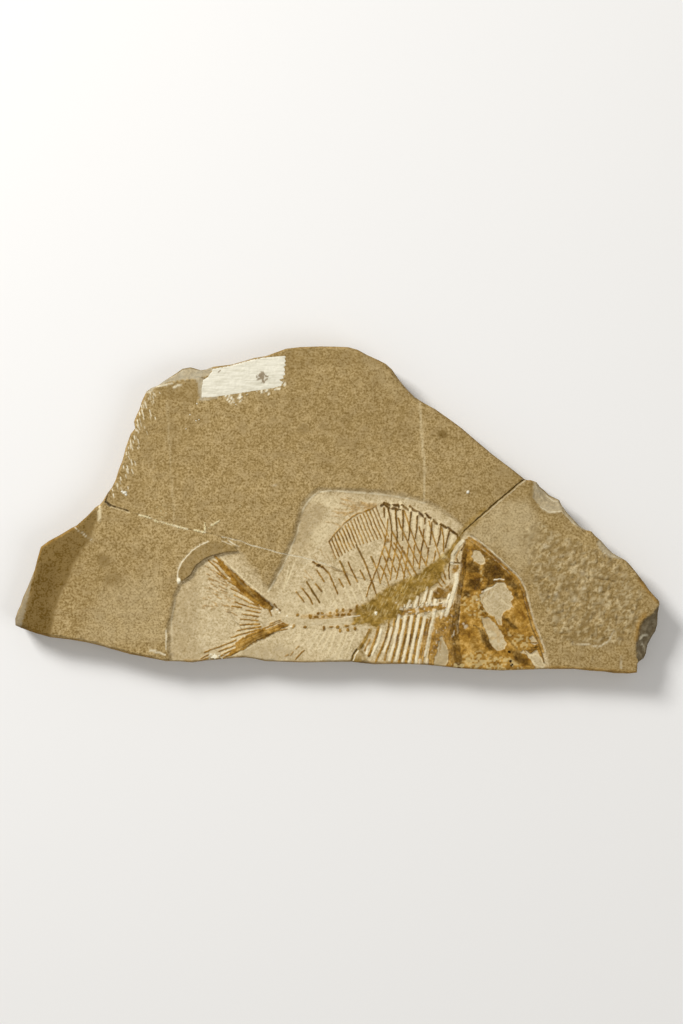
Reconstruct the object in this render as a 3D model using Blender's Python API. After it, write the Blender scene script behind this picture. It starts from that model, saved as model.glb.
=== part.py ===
"""A pycnodont fish fossil in its slab of limestone, lying on its back with the fish facing up.

The slab was found broken in three and glued together again: an upper piece, a piece with the tail
and a piece with the head. The bones stand as low ridges on the floor of a shallow hollow that was
dug into the face round the fish. Metres, +Z up, +X towards the head, +Y towards the fish's back.
The origin is the middle of the slab's underside.
"""

import itertools
import math
import random

import bmesh
import bpy
from mathutils import Vector

# Driving dimensions, in metres.
SLAB_LENGTH = 0.260
SLAB_THICKNESS = 0.014
HOLLOW_DEPTH = 0.0012
WALL_RUN = 0.0008
BONE_HEIGHT = 0.00045
THIN_HEIGHT = 0.00038
FAINT_HEIGHT = 0.0003
BONE_ROOT = 0.0005
SKULL_HEIGHT = 0.0006
TAB_HEIGHT = 0.0005
CHIP_DEPTH = 0.0032
SCAR_DEPTH = 0.0006
DIMPLE_DEPTH = 0.0003
BREAK_GAP = 0.0003
NOTCH_WIDTH = 0.002
CUT_CLEARANCE = 0.003
PLATE_SLOPE = 0.0003
TAB_SLOPE = 0.0004
STEP = 0.0001
STAGGER = 0.00001
BACK_INSET = 0.0012
GIRDLE_LOW = 0.004
GIRDLE_HIGH = 0.0095

# How unevenly the rough sides stand back: shares of the face's own distance, and of the back's.
SHOULDER_SHARES = (0.14, 0.35)
BACK_SHARES = (0.6, 1.6)

# Places on the face are written in pixels of the photograph, which these four limits scale.
PHOTO_LEFT, PHOTO_RIGHT = 14.4, 660.3
PHOTO_TOP, PHOTO_BOTTOM = 346.0, 674.0
PIXEL = SLAB_LENGTH / (PHOTO_RIGHT - PHOTO_LEFT)
FACE = SLAB_THICKNESS
FLOOR = SLAB_THICKNESS - HOLLOW_DEPTH
RIDGE_TOP = 0.5
STAGGER_CYCLE = 9
BONE_COUNT = itertools.count()

# How wide each kind of bone is at its first and at its last point, in pixels.
TAIL_RAY_WIDTHS = (1.0, 1.8)
TAIL_ROOT_WIDTHS = (1.6, 1.2)
FIN_SUPPORT_WIDTHS = (1.9, 1.1)
FIN_RAY_WIDTHS = (1.4, 1.0)
SCUTE_WIDTHS = (3.4, 2.4)
SPINE_WIDTHS = (2.2, 1.3)
CROSS_BAR_WIDTHS = (1.6, 1.2)
BACKBONE_WIDTHS = (6.5, 5.0)
ARCH_ABOVE_WIDTHS = (4.2, 1.6)
ARCH_BELOW_WIDTHS = (3.6, 1.8)
NEURAL_SPINE_WIDTHS = (1.9, 1.9)
RIB_WIDTHS = (3.4, 2.8)
RAY_ABOVE_WIDTHS = (1.8, 1.5)
RIB_BAR_WIDTHS = (4.0, 4.0)
SHOULDER_WIDTHS = (4.0, 6.0)
BROW_WIDTHS = (5.0, 4.0)
JAW_WIDTHS = (3.0, 3.0)
TOOTH_WIDTHS = (1.7, 1.2)

# The slab's edge, clockwise from the left tip: x, y and how far the face stands back from it.
EDGE = [
    (14.4, 625.3, 6), (30.5, 580.5, 6), (40.5, 546.5, 4), (65, 530, 2), (87, 513, 2),
    (103, 504, 2), (107, 491, 2), (123, 452, 3), (130.7, 432, 3), (134, 423.6, 3),
    (141.6, 400, 3), (149.4, 389, 3), (161, 381, 3), (183, 368, 2), (205, 370, 2),
    (244, 360, 2), (285, 348, 2), (320, 346, 2), (348.5, 346.5, 2), (379, 360, 3),
    (392, 369, 3), (407, 389, 3), (422.5, 402, 3), (435.6, 409, 3), (462, 428, 2),
    (492, 454, 2), (520.5, 477, 2), (540, 487, 2), (560, 502, 3), (566, 513, 3),
    (592, 532.5, 3), (614, 556.5, 3), (632, 570, 3), (649, 587, 3), (660.3, 602, 3),
    (660, 616, 13), (655.5, 635, 20), (647, 652, 11), (638, 674, 3), (627, 674, 2),
    (584, 672, 2), (544.5, 669, 2), (501, 671, 2), (462, 669, 2), (429, 665.4, 2),
    (392, 664.5, 2), (348.5, 662, 2), (305, 663, 2), (235, 657.6, 2), (192, 663, 2),
    (144, 656.7, 3), (109, 648, 3), (78, 641, 3), (48, 637, 3), (22, 628, 4),
]

# The hollow dug round the fish, from the slab's lower edge round to it again.
HOLLOW = [
    (176, 690), (168.5, 636), (172, 609), (176, 591), (182, 579), (196, 564), (213, 554.5),
    (237, 552), (248, 565), (259, 580), (268, 589), (275, 579), (287.5, 556.5), (300.5, 522),
    (303.6, 506), (311, 495.5), (320, 490.5), (366, 493), (392, 496), (418, 501), (440, 511),
    (457, 522), (475, 537), (501, 556.5), (518, 576), (530, 609), (541, 635), (550, 690),
]

TAB = [
    (177, 580), (179, 567), (186, 557), (198, 547.5), (208, 541), (222, 543), (234, 551),
    (222, 553), (207, 557.5), (196, 565), (186, 579),
]
CHIP = [
    (140, 380), (189.5, 350), (212, 362), (206, 377), (199, 396), (190, 385), (176, 385), (158, 392),
]
PALE_SCAR = (549, 498, 19, 14)
DIMPLE_FIELD = (522, 624, 548, 632)
DIMPLE_ROWS = 3
DIMPLE_LEAN = 0.2
DIMPLE_PLACES = (0.25, 0.75)
DIMPLE_HALF_X, DIMPLE_HALF_Y = (6, 10), (5, 8)

# The two breaks. The second starts at the notch under the ribs and runs to the upper right edge.
BREAK_TAIL = [
    (96, 498), (107, 504), (117, 507), (136, 514), (151, 518.5), (187, 529), (205, 532),
    (222, 537), (260, 545), (290, 556), (330, 565), (356, 578), (380, 586), (404, 592),
]
BREAK_HEAD = [
    (350, 684), (351, 661), (356, 650), (365, 639), (369, 623), (385, 607), (400, 594),
    (418, 582), (436, 566), (451, 549), (464, 531), (490, 508), (523, 479.5), (536, 467),
]

# Tail fin: two thick leading edges, then the short rays between them.
TAIL_UPPER = [
    (215, 557), (231, 570), (250, 587), (262, 595.5), (273, 606), (268, 610), (250, 599),
    (235, 583), (223, 569),
]
TAIL_LOWER = [
    (287, 624), (281, 630), (270, 635.5), (252, 643.5), (232, 654), (222, 657), (236, 645),
    (252, 635), (266, 629),
]
TAIL_RAYS = [
    [(207, 561), (228, 578.5), (240, 587)], [(213, 570), (228, 580)],
    [(218, 577), (236, 588), (258, 604)],
    [(221, 587), (240, 597), (260, 606)], [(233, 601), (248, 606), (262, 609)],
    [(234, 606.5), (248, 610), (260, 612.5)], [(224, 611), (243, 614), (258, 616.5)],
    [(240, 619), (258, 620.5)], [(240, 625), (259.5, 624)], [(237, 631), (250, 628), (260, 627)],
    [(232, 637.5), (250, 632), (262, 629)], [(206, 650), (226, 645), (243, 638)],
    [(202, 656), (220, 651), (238, 645)],
]
TAIL_ROOT = [[(274, 607), (280, 610.5)], [(268, 609), (271, 615)], [(268, 624), (284, 621)]]

# Dorsal fin supports: the outermost tops, with their lengths, along the fin's base.
FIN_FIRST, FIN_LAST = (376, 507), (329, 541.5)
FIN_SUPPORTS = 17
FIN_BULGE = (1.8, 3.0)
FIN_LONG, FIN_SHORT = 30.0, 17.0
FIN_LEAN = (0.42, 1.0)
FIN_LOWER = [[(320, 549), (326, 560)], [(325, 552), (331, 563)], [(331, 550), (335.5, 560)]]
FIN_RAYS = [
    [(352, 503), (364, 503), (375, 505)], [(352, 509.5), (364, 509), (374, 507)],
    [(338, 503), (350, 506)],
]

# The ridge scutes above the nape, each with the spine that runs down from it.
SCUTES = [
    (385, 505.5), (397, 506), (406, 508), (413.5, 510.5), (421, 513.5), (428, 517), (435, 521),
    (444, 526), (453, 532),
]
# A scute's two ends from its middle, and how far down they have moved at the row's lower end.
SCUTE_ENDS = [(-5, -1.5, -1.4), (4.5, 1, 2.24)]
SCUTE_SPINES = [
    [(387.5, 507), (391, 522), (391, 543), (386, 564), (380, 582)],
    [(396, 507), (397, 525), (397, 543), (393, 562), (389, 580)],
    [(403.5, 509), (403.5, 525), (402, 543), (399, 562), (396, 578)],
    [(411, 511), (410, 525), (407.5, 543), (404, 562), (402, 576)],
    [(418, 514), (417, 528), (415, 543), (413, 562)],
    [(425, 517), (424, 530), (421, 548), (420, 562)],
    [(432, 520), (431, 533), (429, 546), (427, 560)],
    [(441, 526), (439.5, 535), (437, 547)],
    [(450, 531), (446.5, 543), (444, 552)],
    [(457, 534), (455.5, 542), (451, 553), (449.5, 565), (449, 578)],
    [(383, 552), (377, 568), (372, 580), (367, 596)],
]
CROSS_BARS = [
    [(371, 557), (377, 569), (381, 584)], [(381, 552), (387, 563), (390, 573)],
    [(387, 545), (394, 559), (400, 571)], [(392, 531), (397, 543), (404, 556), (413, 569)],
    [(398, 525), (403, 537), (411, 551), (419, 563), (424, 572)],
    [(404, 521), (409, 531), (415, 544), (421, 556), (427, 567)],
    [(411, 528), (416, 539), (422, 551)], [(419, 527), (425, 540), (429, 550), (433, 560)],
    [(430, 533), (436, 546), (440, 557), (443, 566)],
]
NEURAL_SPINES = [
    [(355.5, 544.5), (361, 557), (368, 571), (373, 583), (376.5, 595)], [(340, 561), (350, 585)],
    [(348, 562), (357.5, 582)], [(359.5, 570), (365, 580)], [(322.5, 566.5), (338, 594)],
    [(316.5, 569), (324, 581.5)], [(339, 579), (343, 586.5)], [(315.5, 584), (321.5, 591.5)],
    [(306.5, 581.5), (319.5, 602.5)], [(301.5, 588), (313, 604)], [(296.4, 591.4), (303.7, 601.7)],
    [(313, 563), (322, 566.5)], [(303.5, 651), (295.5, 659)],
]
BACKBONE = [(287, 620.5), (310, 621.5), (335, 621.3), (353, 619.5)]
ARCHES_ABOVE = [
    (297, 615), (310.5, 616.5), (317, 616), (323.5, 615), (330, 616), (336.5, 614), (343, 613),
    (350, 612), (356.5, 609),
]
ARCHES_BELOW = [(324, 628), (331.5, 627.5), (339, 628.5), (347, 628.5), (354.5, 627)]
# An arch's two ends from its middle, and how much longer each arch is than the last.
ARCH_ABOVE_ENDS = [(-0.8, 2.6), (0, -3)]
ARCH_BELOW_ENDS = [(-0.6, -3), (0.8, 3.2)]
ARCH_GROWTH = 0.3

# Ribs, tail side first, with the bar that they hang from and the thin rays above it.
RIBS = [
    [(368, 629), (365, 640), (361, 648)], [(377.5, 626), (374, 640), (369, 655)],
    [(387.5, 622), (384, 643), (376, 661)], [(393, 622), (389.5, 643), (383, 660)],
    [(400, 618), (396, 645), (391, 661)], [(408, 615), (403.5, 645), (399, 661)],
    [(414, 614), (409.5, 645), (405.5, 661)], [(419.5, 616), (414.5, 645), (411, 661)],
    [(424.5, 616), (419.5, 645), (416.5, 662)], [(430, 618), (424.5, 645), (421.5, 662)],
    [(433.5, 626), (430, 645), (428, 662)], [(438.5, 634), (434.5, 650), (432, 660)],
]
RIB_BAR = [(381, 619), (398, 613.5), (420, 612), (437, 610), (450, 607)]
RAYS_ABOVE = [
    [(419, 596), (417.5, 609)], [(429.5, 589), (426, 600), (423.5, 609)], [(434, 597), (431, 608)],
]
FIN_ROOT = [
    (435, 591), (443, 589), (450, 585), (454, 586), (451, 592), (446, 598), (439, 600), (433, 597),
]

SHOULDER = [
    (466.5, 541), (463.5, 555), (462.5, 575), (458.5, 592), (455.5, 606), (453, 625), (455, 646),
    (458, 660),
]
SKULL = [
    (467, 539.5), (480, 545.5), (494, 559.5), (508, 571.5), (518, 582), (524, 597), (529, 619),
    (536, 638), (541, 651), (538, 657), (524, 650.5), (531, 659), (533, 662), (462, 662),
    (459, 640), (461, 612), (461, 590), (465, 565),
]
EYE = [
    (480, 595), (490, 585.5), (502, 582), (513.5, 598), (512, 608), (503, 613.5), (500, 618.5),
    (490, 612.5), (481, 602),
]
NAPE_WINDOW = [(472, 552), (478, 550), (485, 558), (484, 564), (476, 562.5), (471.5, 557)]
CHEEK_WINDOW = [(484, 619), (492, 622), (499, 630), (507, 645), (504, 651), (498, 651), (489, 637)]
GILL_WINDOW = [(441.5, 636), (437, 651), (434, 660), (449, 660), (448.5, 650)]
GILL_PLATE = [(447, 612), (455, 617), (457, 662), (430, 662), (434, 640), (438, 622)]
BROW = [(476, 547), (497, 566), (515, 584), (520, 597)]
JAW = [(480, 606), (491, 618), (503, 633), (516, 648), (530, 659)]
GILL_COVER = [(464, 628), (482, 634), (490, 652), (488, 659), (465, 659)]
TEETH = [[(528, 643.5), (537, 642.5)], [(529, 646.5), (538, 646)], [(530, 649.5), (538, 650)]]

STONE_COLOUR = (0.40, 0.30, 0.17)
STONE_ROUGHNESS = 0.85
BRIGHTNESS = {"slab_upper": 1.0, "slab_tail_side": 0.94, "slab_head_side": 1.04}


def place(x, y):
    """The point of the slab's frame, in metres, that a pixel of the photograph shows."""
    middle_x = (PHOTO_LEFT + PHOTO_RIGHT) / 2
    middle_y = (PHOTO_TOP + PHOTO_BOTTOM) / 2
    return Vector(((x - middle_x) * PIXEL, (middle_y - y) * PIXEL))


def places(pixels):
    return [place(*pixel[:2]) for pixel in pixels]


def side_of(points, index):
    """The unit vector pointing out of a closed outline at one of its corners."""
    before = points[index - 1]
    after = points[(index + 1) % len(points)]
    along = (after - before).normalized()
    out = Vector((-along.y, along.x))
    area = sum(p.cross(points[(i + 1) % len(points)]) for i, p in enumerate(points))
    return out if area < 0 else -out


def shrunk(points, insets):
    """The closed outline with each corner moved inwards by its own distance."""
    return [p - side_of(points, i) * insets[i] for i, p in enumerate(points)]


def loft(bm, rings, heights):
    """A closed solid through outlines of equally many corners, from the lowest up."""
    corners = [bm.verts.new((*p, heights[0])) for p in rings[0]]
    bottom = bm.faces.new(corners)
    edges = list(bottom.edges)
    for ring, height in zip(rings[1:], heights[1:]):
        order = {vert.co.to_tuple(9): i for i, vert in enumerate(corners)}
        raised = bmesh.ops.extrude_edge_only(bm, edges=edges)["geom"]
        edges = [g for g in raised if isinstance(g, bmesh.types.BMEdge)]
        new = [g for g in raised if isinstance(g, bmesh.types.BMVert)]
        corners = sorted(new, key=lambda vert: order[vert.co.to_tuple(9)])
        for vert, p in zip(corners, ring):
            vert.co = (*p, height)
    bm.faces.new(corners)


def prism(bm, pixels, low, high, inset):
    """A raised outline whose top stands back from its foot, or a widening cutter for inset below 0."""
    foot = places(pixels)
    loft(bm, [foot, shrunk(foot, [inset] * len(foot))], [low, high])


def stroke_outline(points, widths):
    """The outline of a line of changing width, down one side and back up the other."""
    left, right = [], []
    for i, p in enumerate(points):
        along = (points[min(i + 1, len(points) - 1)] - points[max(i - 1, 0)]).normalized()
        across = Vector((-along.y, along.x)) * widths[i] / 2
        left.append(p + across)
        right.append(p - across)
    return left + right[::-1]


def bone_levels(height):
    """The root and the top of the next bone. No two are level, so that no two faces coincide."""
    step = next(BONE_COUNT)
    return FLOOR - BONE_ROOT - STAGGER * step, FLOOR + height + STAGGER * (step % STAGGER_CYCLE)


def ridge(bm, pixels, end_widths, height):
    """A bone: a bar with sloping sides along a line, as wide at its two ends as the widths say."""
    points = places(pixels)
    last = len(points) - 1
    first_width, last_width = end_widths
    widths = [(first_width + (last_width - first_width) * i / last) * PIXEL for i in range(last + 1)]
    narrow = [w * RIDGE_TOP for w in widths]
    loft(bm, [stroke_outline(points, widths), stroke_outline(points, narrow)], bone_levels(height))


def plate(bm, pixels, height, slope):
    """A flat bone with sloping sides."""
    prism(bm, pixels, *bone_levels(height), slope)


def mesh_object(name, bm, helper=False):
    """The mesh as an object. A helper only shapes another object and is not part of the fossil."""
    bmesh.ops.recalc_face_normals(bm, faces=bm.faces)
    mesh = bpy.data.meshes.new(name)
    bm.to_mesh(mesh)
    bm.free()
    made = bpy.data.objects.new(name, mesh)
    bpy.context.scene.collection.objects.link(made)
    if helper:
        made.hide_render = True
        made.display_type = "WIRE"
    return made


def combine(body, other, operation, overlapping=False):
    """Joins the other shape to the body, or cuts it out, and makes the result the body's mesh."""
    modifier = body.modifiers.new(other.name, "BOOLEAN")
    modifier.solver = "EXACT"
    modifier.operation = operation
    modifier.object = other
    modifier.use_self = overlapping
    graph = bpy.context.evaluated_depsgraph_get()
    mesh = bpy.data.meshes.new_from_object(body.evaluated_get(graph))
    body.modifiers.clear()
    body.data = mesh


def slab():
    """The stone with its rough sides: a girdle that stands out, sloping in to the face and the back."""
    outline = places(EDGE)
    rough = random.Random(11)
    face_insets = [entry[2] * PIXEL for entry in EDGE]
    shoulder = [inset * rough.uniform(*SHOULDER_SHARES) for inset in face_insets]
    back = [BACK_INSET * rough.uniform(*BACK_SHARES) for _ in EDGE]
    rings = [shrunk(outline, back), outline, shrunk(outline, shoulder), shrunk(outline, face_insets)]
    bm = bmesh.new()
    loft(bm, rings, [0, GIRDLE_LOW, GIRDLE_HIGH, FACE])
    return mesh_object("slab", bm)


def hollow_cutter():
    bm = bmesh.new()
    prism(bm, HOLLOW, FLOOR, FACE + HOLLOW_DEPTH, -2 * WALL_RUN)
    return mesh_object("hollow_cutter", bm, helper=True)


def chip_cutter():
    """The corner knocked off at the upper left."""
    bm = bmesh.new()
    prism(bm, CHIP, FACE - CHIP_DEPTH, FACE + CHIP_DEPTH, -WALL_RUN)
    return mesh_object("chip_cutter", bm, helper=True)


def scar(bm, x, y, half_x, half_y, depth):
    """A shallow dish: the lowest part of a flattened ball whose middle is a little above the face."""
    ball = bmesh.ops.create_uvsphere(bm, u_segments=12, v_segments=8, radius=1.0)["verts"]
    bmesh.ops.scale(bm, verts=ball, vec=(half_x * PIXEL, half_y * PIXEL, 2 * depth))
    bmesh.ops.translate(bm, verts=ball, vec=(*place(x, y), FACE + depth))


def scar_cutter():
    """The flaked dish near the break and the pitted stone in front of the head."""
    bm = bmesh.new()
    scar(bm, *PALE_SCAR, SCAR_DEPTH)
    spread = random.Random(5)
    low_x, high_x, low_y, high_y = DIMPLE_FIELD
    for i in range(DIMPLE_ROWS ** 2):
        x = low_x + (high_x - low_x) * (i % DIMPLE_ROWS + spread.uniform(*DIMPLE_PLACES)) / DIMPLE_ROWS
        y = low_y + (high_y - low_y) * (i // DIMPLE_ROWS + spread.uniform(*DIMPLE_PLACES)) / DIMPLE_ROWS
        x += (y - low_y) * DIMPLE_LEAN
        half_x, half_y = spread.uniform(*DIMPLE_HALF_X), spread.uniform(*DIMPLE_HALF_Y)
        scar(bm, x, y, half_x, half_y, DIMPLE_DEPTH)
    return mesh_object("scar_cutter", bm, helper=True)


def tail_fin(bm):
    plate(bm, TAIL_UPPER, BONE_HEIGHT + STEP, PLATE_SLOPE)
    plate(bm, TAIL_LOWER, BONE_HEIGHT + STEP, PLATE_SLOPE)
    for ray in TAIL_RAYS:
        ridge(bm, ray, TAIL_RAY_WIDTHS, BONE_HEIGHT)
    for ray in TAIL_ROOT:
        ridge(bm, ray, TAIL_ROOT_WIDTHS, BONE_HEIGHT)


def dorsal_fin(bm):
    """The row of fin supports under the back, shorter towards the tail, and the fin's few rays."""
    for i in range(FIN_SUPPORTS):
        t = i / (FIN_SUPPORTS - 1)
        bulge = math.sin(math.pi * t)
        x = FIN_FIRST[0] + (FIN_LAST[0] - FIN_FIRST[0]) * t - FIN_BULGE[0] * bulge
        y = FIN_FIRST[1] + (FIN_LAST[1] - FIN_FIRST[1]) * t - FIN_BULGE[1] * bulge
        length = FIN_LONG + (FIN_SHORT - FIN_LONG) * t
        foot = (x + FIN_LEAN[0] * length, y + FIN_LEAN[1] * length)
        ridge(bm, [(x, y), foot], FIN_SUPPORT_WIDTHS, THIN_HEIGHT)
    for line in FIN_LOWER + FIN_RAYS:
        ridge(bm, line, FIN_RAY_WIDTHS, FAINT_HEIGHT)


def nape(bm):
    """The ridge scutes, their spines and the bars that cross them in a lattice."""
    for i, (x, y) in enumerate(SCUTES):
        turn = i / len(SCUTES)
        ends = [(x + ahead, y + down + turned * turn) for ahead, down, turned in SCUTE_ENDS]
        ridge(bm, ends, SCUTE_WIDTHS, BONE_HEIGHT + 2 * STEP)
    for spine in SCUTE_SPINES:
        ridge(bm, spine, SPINE_WIDTHS, BONE_HEIGHT)
    for bar in CROSS_BARS:
        ridge(bm, bar, CROSS_BAR_WIDTHS, FAINT_HEIGHT)


def backbone(bm):
    """The smooth band where the soft backbone ran, with the arch bases and spines beside it."""
    ridge(bm, BACKBONE, BACKBONE_WIDTHS, FAINT_HEIGHT)
    for i, (x, y) in enumerate(ARCHES_ABOVE):
        foot, top = ((x + ahead, y + down) for ahead, down in ARCH_ABOVE_ENDS)
        ridge(bm, [foot, (top[0], top[1] - ARCH_GROWTH * i)], ARCH_ABOVE_WIDTHS, THIN_HEIGHT)
    for x, y in ARCHES_BELOW:
        ends = [(x + ahead, y + down) for ahead, down in ARCH_BELOW_ENDS]
        ridge(bm, ends, ARCH_BELOW_WIDTHS, THIN_HEIGHT)
    for spine in NEURAL_SPINES:
        ridge(bm, spine, NEURAL_SPINE_WIDTHS, THIN_HEIGHT)


def ribs(bm):
    for rib in RIBS:
        ridge(bm, rib, RIB_WIDTHS, BONE_HEIGHT)
    for ray in RAYS_ABOVE:
        ridge(bm, ray, RAY_ABOVE_WIDTHS, FAINT_HEIGHT)
    ridge(bm, RIB_BAR, RIB_BAR_WIDTHS, THIN_HEIGHT)
    plate(bm, FIN_ROOT, BONE_HEIGHT, PLATE_SLOPE)


def skull_bones(bm):
    """The plates of the skull, with what stands out on them: brow, jaw, gill cover and shoulder."""
    plate(bm, SKULL, SKULL_HEIGHT, PLATE_SLOPE)
    plate(bm, GILL_PLATE, SKULL_HEIGHT - 2 * STEP, PLATE_SLOPE)
    plate(bm, GILL_COVER, SKULL_HEIGHT + 2 * STEP, 2 * PLATE_SLOPE)
    ridge(bm, SHOULDER, SHOULDER_WIDTHS, SKULL_HEIGHT + 2 * STEP)
    ridge(bm, BROW, BROW_WIDTHS, SKULL_HEIGHT + 3 * STEP)


def skull_windows():
    """The eye socket and the openings of nape, cheek and gills, down to the hollow's floor."""
    bm = bmesh.new()
    for window in (EYE, NAPE_WINDOW, CHEEK_WINDOW, GILL_WINDOW):
        prism(bm, window, FLOOR, FACE + CUT_CLEARANCE, -PLATE_SLOPE)
    return mesh_object("skull_windows", bm, helper=True)


def jaws(bm):
    ridge(bm, JAW, JAW_WIDTHS, SKULL_HEIGHT + STEP)
    for tooth in TEETH:
        ridge(bm, tooth, TOOTH_WIDTHS, SKULL_HEIGHT + 2 * STEP)


def bone_mesh(group):
    bm = bmesh.new()
    group(bm)
    return mesh_object(group.__name__, bm, helper=True)


def skeleton():
    """The skull with its openings, and every other bone joined to it or standing beside it."""
    whole = bone_mesh(tail_fin)
    for group in (skull_bones, dorsal_fin, nape, backbone, ribs, jaws):
        combine(whole, bone_mesh(group), "UNION", overlapping=True)
    return whole


def tab():
    """The crescent of stone left standing over the tip of the tail."""
    bm = bmesh.new()
    prism(bm, TAB, FLOOR - BONE_ROOT, FACE + TAB_HEIGHT, TAB_SLOPE)
    return mesh_object("tab", bm, helper=True)


def break_cutter(name, line, mouth):
    """A break as a thin curtain through the slab, opened to a notch at its first point."""
    points = places(line)
    widths = [BREAK_GAP] * len(points)
    widths[0] = mouth
    outline = stroke_outline(points, widths)
    bm = bmesh.new()
    loft(bm, [outline, outline], [-CUT_CLEARANCE, FACE + CUT_CLEARANCE])
    return mesh_object(name, bm, helper=True)


def loose_pieces(body):
    """The body's separate shells, each as the set of its vertices' numbers."""
    bm = bmesh.new()
    bm.from_mesh(body.data)
    left = set(bm.verts)
    shells = []
    while left:
        shell = set()
        reach = [left.pop()]
        while reach:
            vert = reach.pop()
            shell.add(vert.index)
            for edge in vert.link_edges:
                other = edge.other_vert(vert)
                if other in left:
                    left.remove(other)
                    reach.append(other)
        shells.append(shell)
    bm.free()
    return shells


def only(body, shell):
    """A copy of the body's mesh that keeps one shell."""
    bm = bmesh.new()
    bm.from_mesh(body.data)
    others = [vert for vert in bm.verts if vert.index not in shell]
    bmesh.ops.delete(bm, geom=others, context="VERTS")
    return bm


def stone(name, brightness):
    """Limestone, a little darker or paler from piece to piece."""
    material = bpy.data.materials.new(name)
    material.use_nodes = True
    shader = material.node_tree.nodes["Principled BSDF"]
    shader.inputs["Base Color"].default_value = (*(c * brightness for c in STONE_COLOUR), 1)
    shader.inputs["Roughness"].default_value = STONE_ROUGHNESS
    shader.inputs["Metallic"].default_value = 0.0
    return material


def middle_of(bm):
    low = [min(vert.co[axis] for vert in bm.verts) for axis in range(2)]
    high = [max(vert.co[axis] for vert in bm.verts) for axis in range(2)]
    return Vector(((low[0] + high[0]) / 2, (low[1] + high[1]) / 2))


def name_of(middle):
    """Which of the three pieces has its middle here."""
    if middle.y > place(*BREAK_TAIL[0]).y:
        return "slab_upper"
    return "slab_head_side" if middle.x > place(*BREAK_TAIL[-1]).x else "slab_tail_side"


def main():
    for obj in list(bpy.data.objects):
        bpy.data.objects.remove(obj, do_unlink=True)
    body = slab()
    for make in (hollow_cutter, chip_cutter, scar_cutter):
        combine(body, make(), "DIFFERENCE")
    combine(body, tab(), "UNION")
    combine(body, skeleton(), "UNION")
    combine(body, skull_windows(), "DIFFERENCE")
    combine(body, break_cutter("tail_break", BREAK_TAIL, NOTCH_WIDTH), "DIFFERENCE")
    combine(body, break_cutter("head_break", BREAK_HEAD, BREAK_GAP), "DIFFERENCE")
    for shell in loose_pieces(body):
        bm = only(body, shell)
        name = name_of(middle_of(bm))
        piece = mesh_object(name, bm)
        piece.data.materials.append(stone(name + "_limestone", BRIGHTNESS[name]))
    bpy.data.objects.remove(body, do_unlink=True)


main()
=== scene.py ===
# %% [markdown]
# A fossil pycnodont fish in its slab of limestone.
#
# The real thing is a thin slab of stone, split open along a layer. The fish lies in the split face:
# brown bones, a fraction of a millimetre high, in a paler hollow that was dug round them. The slab
# was found in three fragments and glued. Each cell below makes one piece or one finish. The solids
# of the three fragments come with the frame, and the fine surface is laid over them here.

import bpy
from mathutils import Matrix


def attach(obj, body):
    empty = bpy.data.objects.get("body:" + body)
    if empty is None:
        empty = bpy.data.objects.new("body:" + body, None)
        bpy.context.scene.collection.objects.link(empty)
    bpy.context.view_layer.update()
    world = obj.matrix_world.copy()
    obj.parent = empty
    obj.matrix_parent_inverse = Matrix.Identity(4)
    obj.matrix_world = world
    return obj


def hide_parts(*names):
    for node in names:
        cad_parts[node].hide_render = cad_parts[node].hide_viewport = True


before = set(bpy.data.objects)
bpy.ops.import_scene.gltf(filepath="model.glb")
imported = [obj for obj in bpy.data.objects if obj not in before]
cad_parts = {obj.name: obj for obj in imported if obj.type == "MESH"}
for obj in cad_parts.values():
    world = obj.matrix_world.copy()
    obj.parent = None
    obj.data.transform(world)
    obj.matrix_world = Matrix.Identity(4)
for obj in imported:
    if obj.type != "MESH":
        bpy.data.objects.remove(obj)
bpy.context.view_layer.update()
print("fragments:", sorted(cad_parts))

# %% [markdown]
# Blender's modules and numpy do all the work. The bmesh module gives the modelling operators, and
# numpy works out the relief at a hundred thousand points at a time, which plain loops are too slow for.

# %% Modules
import math

import bmesh
import bpy
import numpy as np
from mathutils import Matrix, Vector

# %% [markdown]
# Scale. Places on the face are written in pixels of the photograph, because that is how they were
# read. The slab is 260 mm long and 645.9 pixels wide there, so one pixel is 0.4 mm. The x axis runs
# towards the head, the y axis towards the fish's back, and z up out of the face.

# %% Scale and thickness
SLAB_LENGTH = 0.260
THICKNESS = 0.014
LEFT, RIGHT = 14.4, 660.3
TOP, BOTTOM = 346.0, 674.0
PIXEL = SLAB_LENGTH / (RIGHT - LEFT)
MIDDLE = Vector(((LEFT + RIGHT) / 2, (TOP + BOTTOM) / 2))
MM = 0.001


def place(x, y, z=THICKNESS):
    """The point in metres that a pixel of the photograph shows."""
    return Vector(((x - MIDDLE.x) * PIXEL, (MIDDLE.y - y) * PIXEL, z))


print(f"one pixel is {PIXEL / MM:.3f} mm")

# %% [markdown]
# The camera looks straight down on the slab, as the photographer looked straight at it. A long lens
# far away keeps the outline free of perspective. The distance follows from the lens: the picture is
# 1024 pixels high, and the sensor's longer side goes with the picture's height.

# %% Camera
PICTURE = (683, 1024)
LENS, SENSOR = 85.0, 36.0


def added(name, data):
    """A new object in the scene."""
    made = bpy.data.objects.new(name, data)
    bpy.context.scene.collection.objects.link(made)
    return made


camera = added("camera", bpy.data.cameras.new("camera"))
camera.data.lens = LENS
camera.data.sensor_width = SENSOR
distance = PICTURE[1] * PIXEL * LENS / SENSOR
camera.location = place(PICTURE[0] / 2, PICTURE[1] / 2, THICKNESS + distance)
bpy.context.scene.camera = camera
print(f"camera {distance:.3f} m above the face")

# %% [markdown]
# Light and floor. Relief this low only shows in raking light, so one soft lamp stands to the upper
# left and a weaker one opposite fills the shadows. The plain view transform keeps the stone's own
# colours. The floor is a pale sheet that the slab lies on.

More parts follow.
